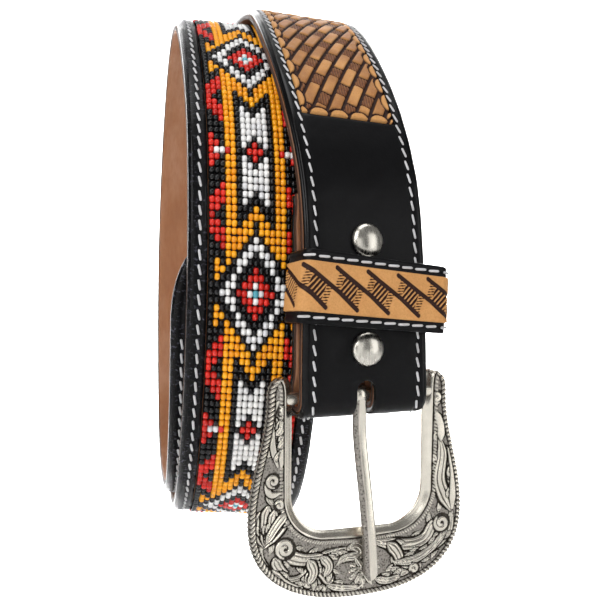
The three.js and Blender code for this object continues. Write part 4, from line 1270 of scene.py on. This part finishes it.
def scrollwork(x, y):
    """Relief of the leaves, stems, curls and flower, each with a dark line round it, on the ground."""
    height = np.full(x.shape, GROUND)
    for start, end, tips, lines, points in STEMS:
        start, end = start * STEM_SHARE + 0.25, end * STEM_SHARE + 0.25
        line = smooth_line(points, 8 * len(points))
        for tip in lobes(line, tips + 2, start, end):
            share = band(x, y, smooth_line(tip, 8), 1.25, 0.5)
            height = np.where(share < 1.4, raised(share, 1), height)
        share = band(x, y, line, start, end)
        height = np.where(share < 1.38, raised(share, lines), height)
    for cx, cy, radius, turns, first, winding, width in CURLS:
        t = np.linspace(0, 1, 34)
        turn = np.radians(first + winding * 360 * turns * t)
        reach = radius * (1 - 0.8 * t)
        line = np.stack([cx + reach * np.cos(turn), cy + reach * np.sin(turn)], -1)
        share = band(x, y, line, width * 1.25, width * 1.1)
        disc = np.hypot(x - cx, y - cy) < radius + width * 1.5
        height = np.where(disc, np.maximum(raised(share), 0.1), height)
    for turn in PETAL_TURNS:
        way = np.array([math.cos(math.radians(turn)), math.sin(math.radians(turn))])
        line = [np.array(FLOWER) + way * reach for reach in (1.0, PETAL_LENGTH / 2, PETAL_LENGTH)]
        share = band(x, y, line, 1.05, 0.8)
        height = np.where(share < 1.25, raised(share, 1), height)
    return height


def buckle_relief(x, y, from_outer, from_inner, around):
    """Height share of the frame's front: rope edge, stippled ground, scrollwork, bevel and beaded row."""
    rope = smoothstep(1.6 * (1 - abs(from_outer / ROPE_WIDTH * 2 - 1)))
    rope = rope * (0.55 + 0.45 * np.cos(2 * math.pi * (around / ROPE_PITCH + from_outer * 0.45)))
    bevel = smoothstep((BEVEL_WIDTH - from_inner) / 0.35)
    row = smoothstep(1.4 * (1 - abs(from_inner - BEVEL_WIDTH - 0.95) / 0.75))
    row = row * (0.45 + 0.4 * np.cos(2 * math.pi * (around / 1.15 + from_inner * 0.3)))
    inside = smoothstep((from_outer - ROPE_WIDTH) / 0.25)
    inside = inside * smoothstep((from_inner - BEVEL_WIDTH - 0.2) / 0.25)
    leaves = scrollwork(x, y) * inside
    row = row * (leaves < 0.6)
    return np.maximum.reduce([rope, bevel, row, leaves])


def buckle_frame():
    rows = 1080
    columns = 74
    top = 30
    left = np.linspace(0.995, 0, top, endpoint=False)
    raise_all = np.concatenate([left, np.zeros(rows), left[::-1]])
    width = np.sqrt(1 - raise_all ** 3)
    t = np.concatenate([np.zeros(top), np.linspace(0, 1, rows), np.ones(top)])
    front = np.linspace(0, 1, columns)
    share = np.concatenate([front, [1.0, 0.985, 0.93, 0.5, 0.1, 0.02, 0.0]])
    rise = np.concatenate([np.full(columns, np.nan), [0.5, 0.2, 0, 0, 0, 0.1, 0.3]])
    inner_x, inner_y = inner_edge(t)
    outer_x, outer_y = outer_edge(t)
    level = ARM_APEX + (share[None, :] - ARM_APEX) * width[:, None]
    x = inner_x[:, None] + (outer_x - inner_x)[:, None] * level
    y = -(ARM_REACH * raise_all)[:, None] + inner_y[:, None] + (outer_y - inner_y)[:, None] * level
    breadth = np.hypot(outer_x - inner_x, outer_y - inner_y)[:, None]
    step = np.hypot(np.diff(outer_x), np.diff(outer_y) - ARM_REACH * np.diff(raise_all))
    around = np.concatenate([[0], np.cumsum(step)])[:, None] + 0 * share[None, :]
    strand = 0.16 * np.cos(2 * math.pi * around / ROPE_PITCH) * smoothstep((share[None, :] - 0.9) / 0.1)
    x = x + strand * np.sign(x)
    from_outer = (1 - share[None, :]) * breadth * width[:, None]
    from_inner = share[None, :] * breadth * width[:, None]
    relief = buckle_relief(x, y, from_outer, from_inner, around)
    crown = 0.66 + 0.1 * np.sin(math.pi * share)
    lip = smoothstep(from_outer / 0.4) * (0.35 + 0.65 * smoothstep(from_inner / (BEVEL_WIDTH * 1.1)))
    height = crown[None, :] * (0.3 + 0.7 * lip) + np.where(from_outer < ROPE_WIDTH, 0.2, 0.13) * relief
    rise = np.where(np.isnan(rise)[None, :], height, rise[None, :])
    z = FRAME_BACK + FRAME_THICKNESS * rise * (0.75 + 0.25 * width[:, None])
    points = buckle_point(x, y, z).reshape(-1, 3)
    faces = grid_faces(len(t), len(share), closed=True)
    relief = np.where(np.arange(len(share))[None, :] < columns, relief, 0.7)
    return make_mesh("buckle_casting", points, faces, "buckle", ANTIQUE, ["buckle_frame"],
                     {"relief": relief.ravel()})


def buckle_bar():
    x = np.array([-WINDOW_HALF - 2, WINDOW_HALF + 2])
    turn = np.arange(24) * 2 * math.pi / 24
    points = buckle_point(x[:, None] + 0 * turn, BAR_RADIUS * np.cos(turn) + 0 * x[:, None],
                          BAR_RADIUS * np.sin(turn) + 0 * x[:, None]).reshape(-1, 3)
    faces = grid_faces(2, 24, closed=True)
    return make_mesh("buckle_bar", points, faces, "buckle", ANTIQUE, (),
                     {"relief": np.full(len(points), 0.7)})


PRONG_WIDTH = 3.9
PRONG_THICKNESS = 2.4
PRONG_LENGTH = 52.8
PRONG_ASIDE = -0.6
PRONG_SKEW = 3.6
PRONG_TIP = 4
PRONG_LOOP = BAR_RADIUS + 0.3
prong_height = spline([0, 0.14, 0.45, 0.78, 1], [0.59, 0.295, 0.59, 0.977, 0.955])


def squared(a):
    """Sine or cosine values of a circle drawn out towards a square."""
    return np.sign(a) * abs(a) ** 0.55


def prong():
    """Shank with a rounded tip, and the loop round the bar."""
    rounding = 1 - 0.06 * np.cos(np.linspace(0.1, 1, 14) * math.pi / 2)
    rows = np.concatenate([np.linspace(0.02, 0.94, 50), rounding])
    tip = np.sqrt(np.clip(1 - ((rows - 0.94) / 0.0605).clip(0) ** 2, 0.0004, 1))
    sides = 22
    turn = (np.arange(sides) + 0.5) * 2 * math.pi / sides
    width = (PRONG_WIDTH + (PRONG_TIP - PRONG_WIDTH) * rows) * tip
    thick = PRONG_THICKNESS * np.minimum(1, tip + 0.1)
    drift = PRONG_LENGTH * math.tan(math.radians(PRONG_SKEW))
    x = PRONG_ASIDE + rows[:, None] * drift + squared(np.cos(turn)) * width[:, None] / 2
    y = rows[:, None] * PRONG_LENGTH + 0 * turn
    z = (prong_height(rows) * FRAME_THICKNESS)[:, None] + squared(np.sin(turn)) * thick[:, None] / 2
    shank = buckle_point(x, y, z).reshape(-1, 3)
    faces = grid_faces(len(rows), sides, closed=True)[:, ::-1]
    outer = PRONG_LOOP + 1.5
    half = PRONG_WIDTH / 2
    ring = [(-half, PRONG_LOOP), (-half, outer - 0.3), (-half + 0.3, outer), (half - 0.3, outer),
            (half, outer - 0.3), (half, PRONG_LOOP)]
    around = np.arange(36) * 2 * math.pi / 36
    ring_x = np.array([PRONG_ASIDE + a for a, _ in ring])[None, :] + 0 * around[:, None]
    ring_r = np.array([b for _, b in ring])[None, :]
    loop = buckle_point(ring_x, ring_r * np.cos(around)[:, None], ring_r * np.sin(around)[:, None])
    loop_faces = grid_faces(37, len(ring), closed=True) % (36 * len(ring)) + len(shank)
    points = np.concatenate([shank, loop.reshape(-1, 3)])
    # The left flank gets the dark pitted finish and the right flank stays bright: stippled casting, with the
    # darkness kept to the left side as painted shade.
    flank_pits_and_shade = np.broadcast_to(0.9 - 0.66 * smoothstep((-np.cos(turn) - 0.08) / 0.25), x.shape).ravel()
    relief = np.concatenate([flank_pits_and_shade, np.full(len(points) - len(flank_pits_and_shade), 0.8)])
    return make_mesh("prong_tongue", points, np.concatenate([faces, loop_faces]), "tongue",
                     ANTIQUE, ["prong"], {"relief": relief})


strap_face()
strap_lining()
strap_stitches()
beads()
bead_backing()
tooled_panel("tooled_panel_buckle", TOOL_BUCKLE, 128, 0.26, 0.5, ["tooled_inlay_buckle"])
tooled_panel("tooled_panel_tip", TOOL_TIP, 740, 0.5, 0.5, ["tooled_inlay_tip"])
keeper_band()
keeper_inlay()
keeper_stitches()
rivet("rivet_lower", LOWER_RIVET_AT)
rivet("rivet_upper", LOWER_RIVET_AT + RIVET_SPACING)
buckle_frame()
buckle_bar()
prong()


# Camera, light and floor

FLOOR_Z = -0.32


def plain_white():
    """Matte white paint."""
    m = Shader("matte white paint", roughness=0.9)
    place = m.object_place()
    m.set(base_color=m.mix(m.noise(place, 60, 2), colour("#F6F6F6"), colour("#FBFBFB")))
    m.bump(m.noise(place, 3, 2), 0.02, 0.1)
    return m.material


def studio():
    finish = plain_white()
    size = 12.0
    mesh = bpy.data.meshes.new("floor")
    profile = [(-8.0, 0), (0.7, 0)]
    bend = np.linspace(0, math.pi / 2, 12)[1:]
    profile += [(0.7 + 0.5 * math.sin(a), 0.5 - 0.5 * math.cos(a)) for a in bend]
    profile += [(1.2, 6.0)]
    points = [(x, y, FLOOR_Z + z) for y, z in profile for x in (-size, size)]
    faces = [(2 * k, 2 * k + 1, 2 * k + 3, 2 * k + 2) for k in range(len(profile) - 1)]
    mesh.from_pydata(points, [], faces)
    floor = bpy.data.objects.new("floor", mesh)
    mesh.materials.append(finish)
    bpy.context.scene.collection.objects.link(floor)
    for name, place, target, power, width, height, spread in (
            ("key", (-0.75, -1.0, 0.75), (0, 0, -0.08), 12, 0.8, 1.0, 180),
            ("fill", (1.1, -0.8, 0.15), (0, 0, -0.08), 4, 0.6, 1.1, 180),
            ("top", (0.1, -0.1, 1.1), (0, 0, 0), 5, 0.9, 0.6, 180),
            ("front", (-0.1, -1.7, -0.05), (0, 0, -0.08), 4.5, 1.1, 1.2, 180),
            ("left strip", (-0.95, -0.8, 0.0), (0, 0, -0.08), 3, 0.16, 1.0, 180),
            ("backdrop", (0.0, 0.5, 1.4), (0, 1.25, -0.1), 40, 1.8, 0.6, 70)):
        light = bpy.data.lights.new(name, "AREA")
        light.shape = "RECTANGLE"
        light.energy = power
        light.size = width
        light.size_y = height
        light.spread = math.radians(spread)
        lamp = bpy.data.objects.new(name, light)
        lamp.location = place
        lamp.rotation_euler = (Vector(target) - Vector(place)).to_track_quat("-Z", "Y").to_euler()
        bpy.context.scene.collection.objects.link(lamp)
    world = bpy.data.worlds.new("studio")
    world.use_nodes = True
    world.node_tree.nodes["Background"].inputs["Color"].default_value = (1, 1, 1, 1)
    world.node_tree.nodes["Background"].inputs["Strength"].default_value = 0.2
    bpy.context.scene.world = world
    bpy.context.scene.view_settings.view_transform = "Standard"


def camera():
    """The camera stands where the photograph was taken from, and is sharp throughout."""
    data = bpy.data.cameras.new("camera")
    data.sensor_width = 36
    data.lens = 76.47
    data.dof.use_dof = False
    holder = bpy.data.objects.new("camera", data)
    right = Vector((0.9872, -0.1486, 0.0581)).normalized()
    look = Vector((0.1488, 0.9889, 0)).normalized()
    up = right.cross(look).normalized()
    look = up.cross(right).normalized()
    turn = Matrix((right, up, -look)).transposed()
    holder.matrix_world = Matrix.Translation((-0.034582, -0.442099, -0.088798)) @ turn.to_4x4()
    bpy.context.scene.collection.objects.link(holder)
    bpy.context.scene.camera = holder


studio()
camera()
bpy.context.view_layer.update()
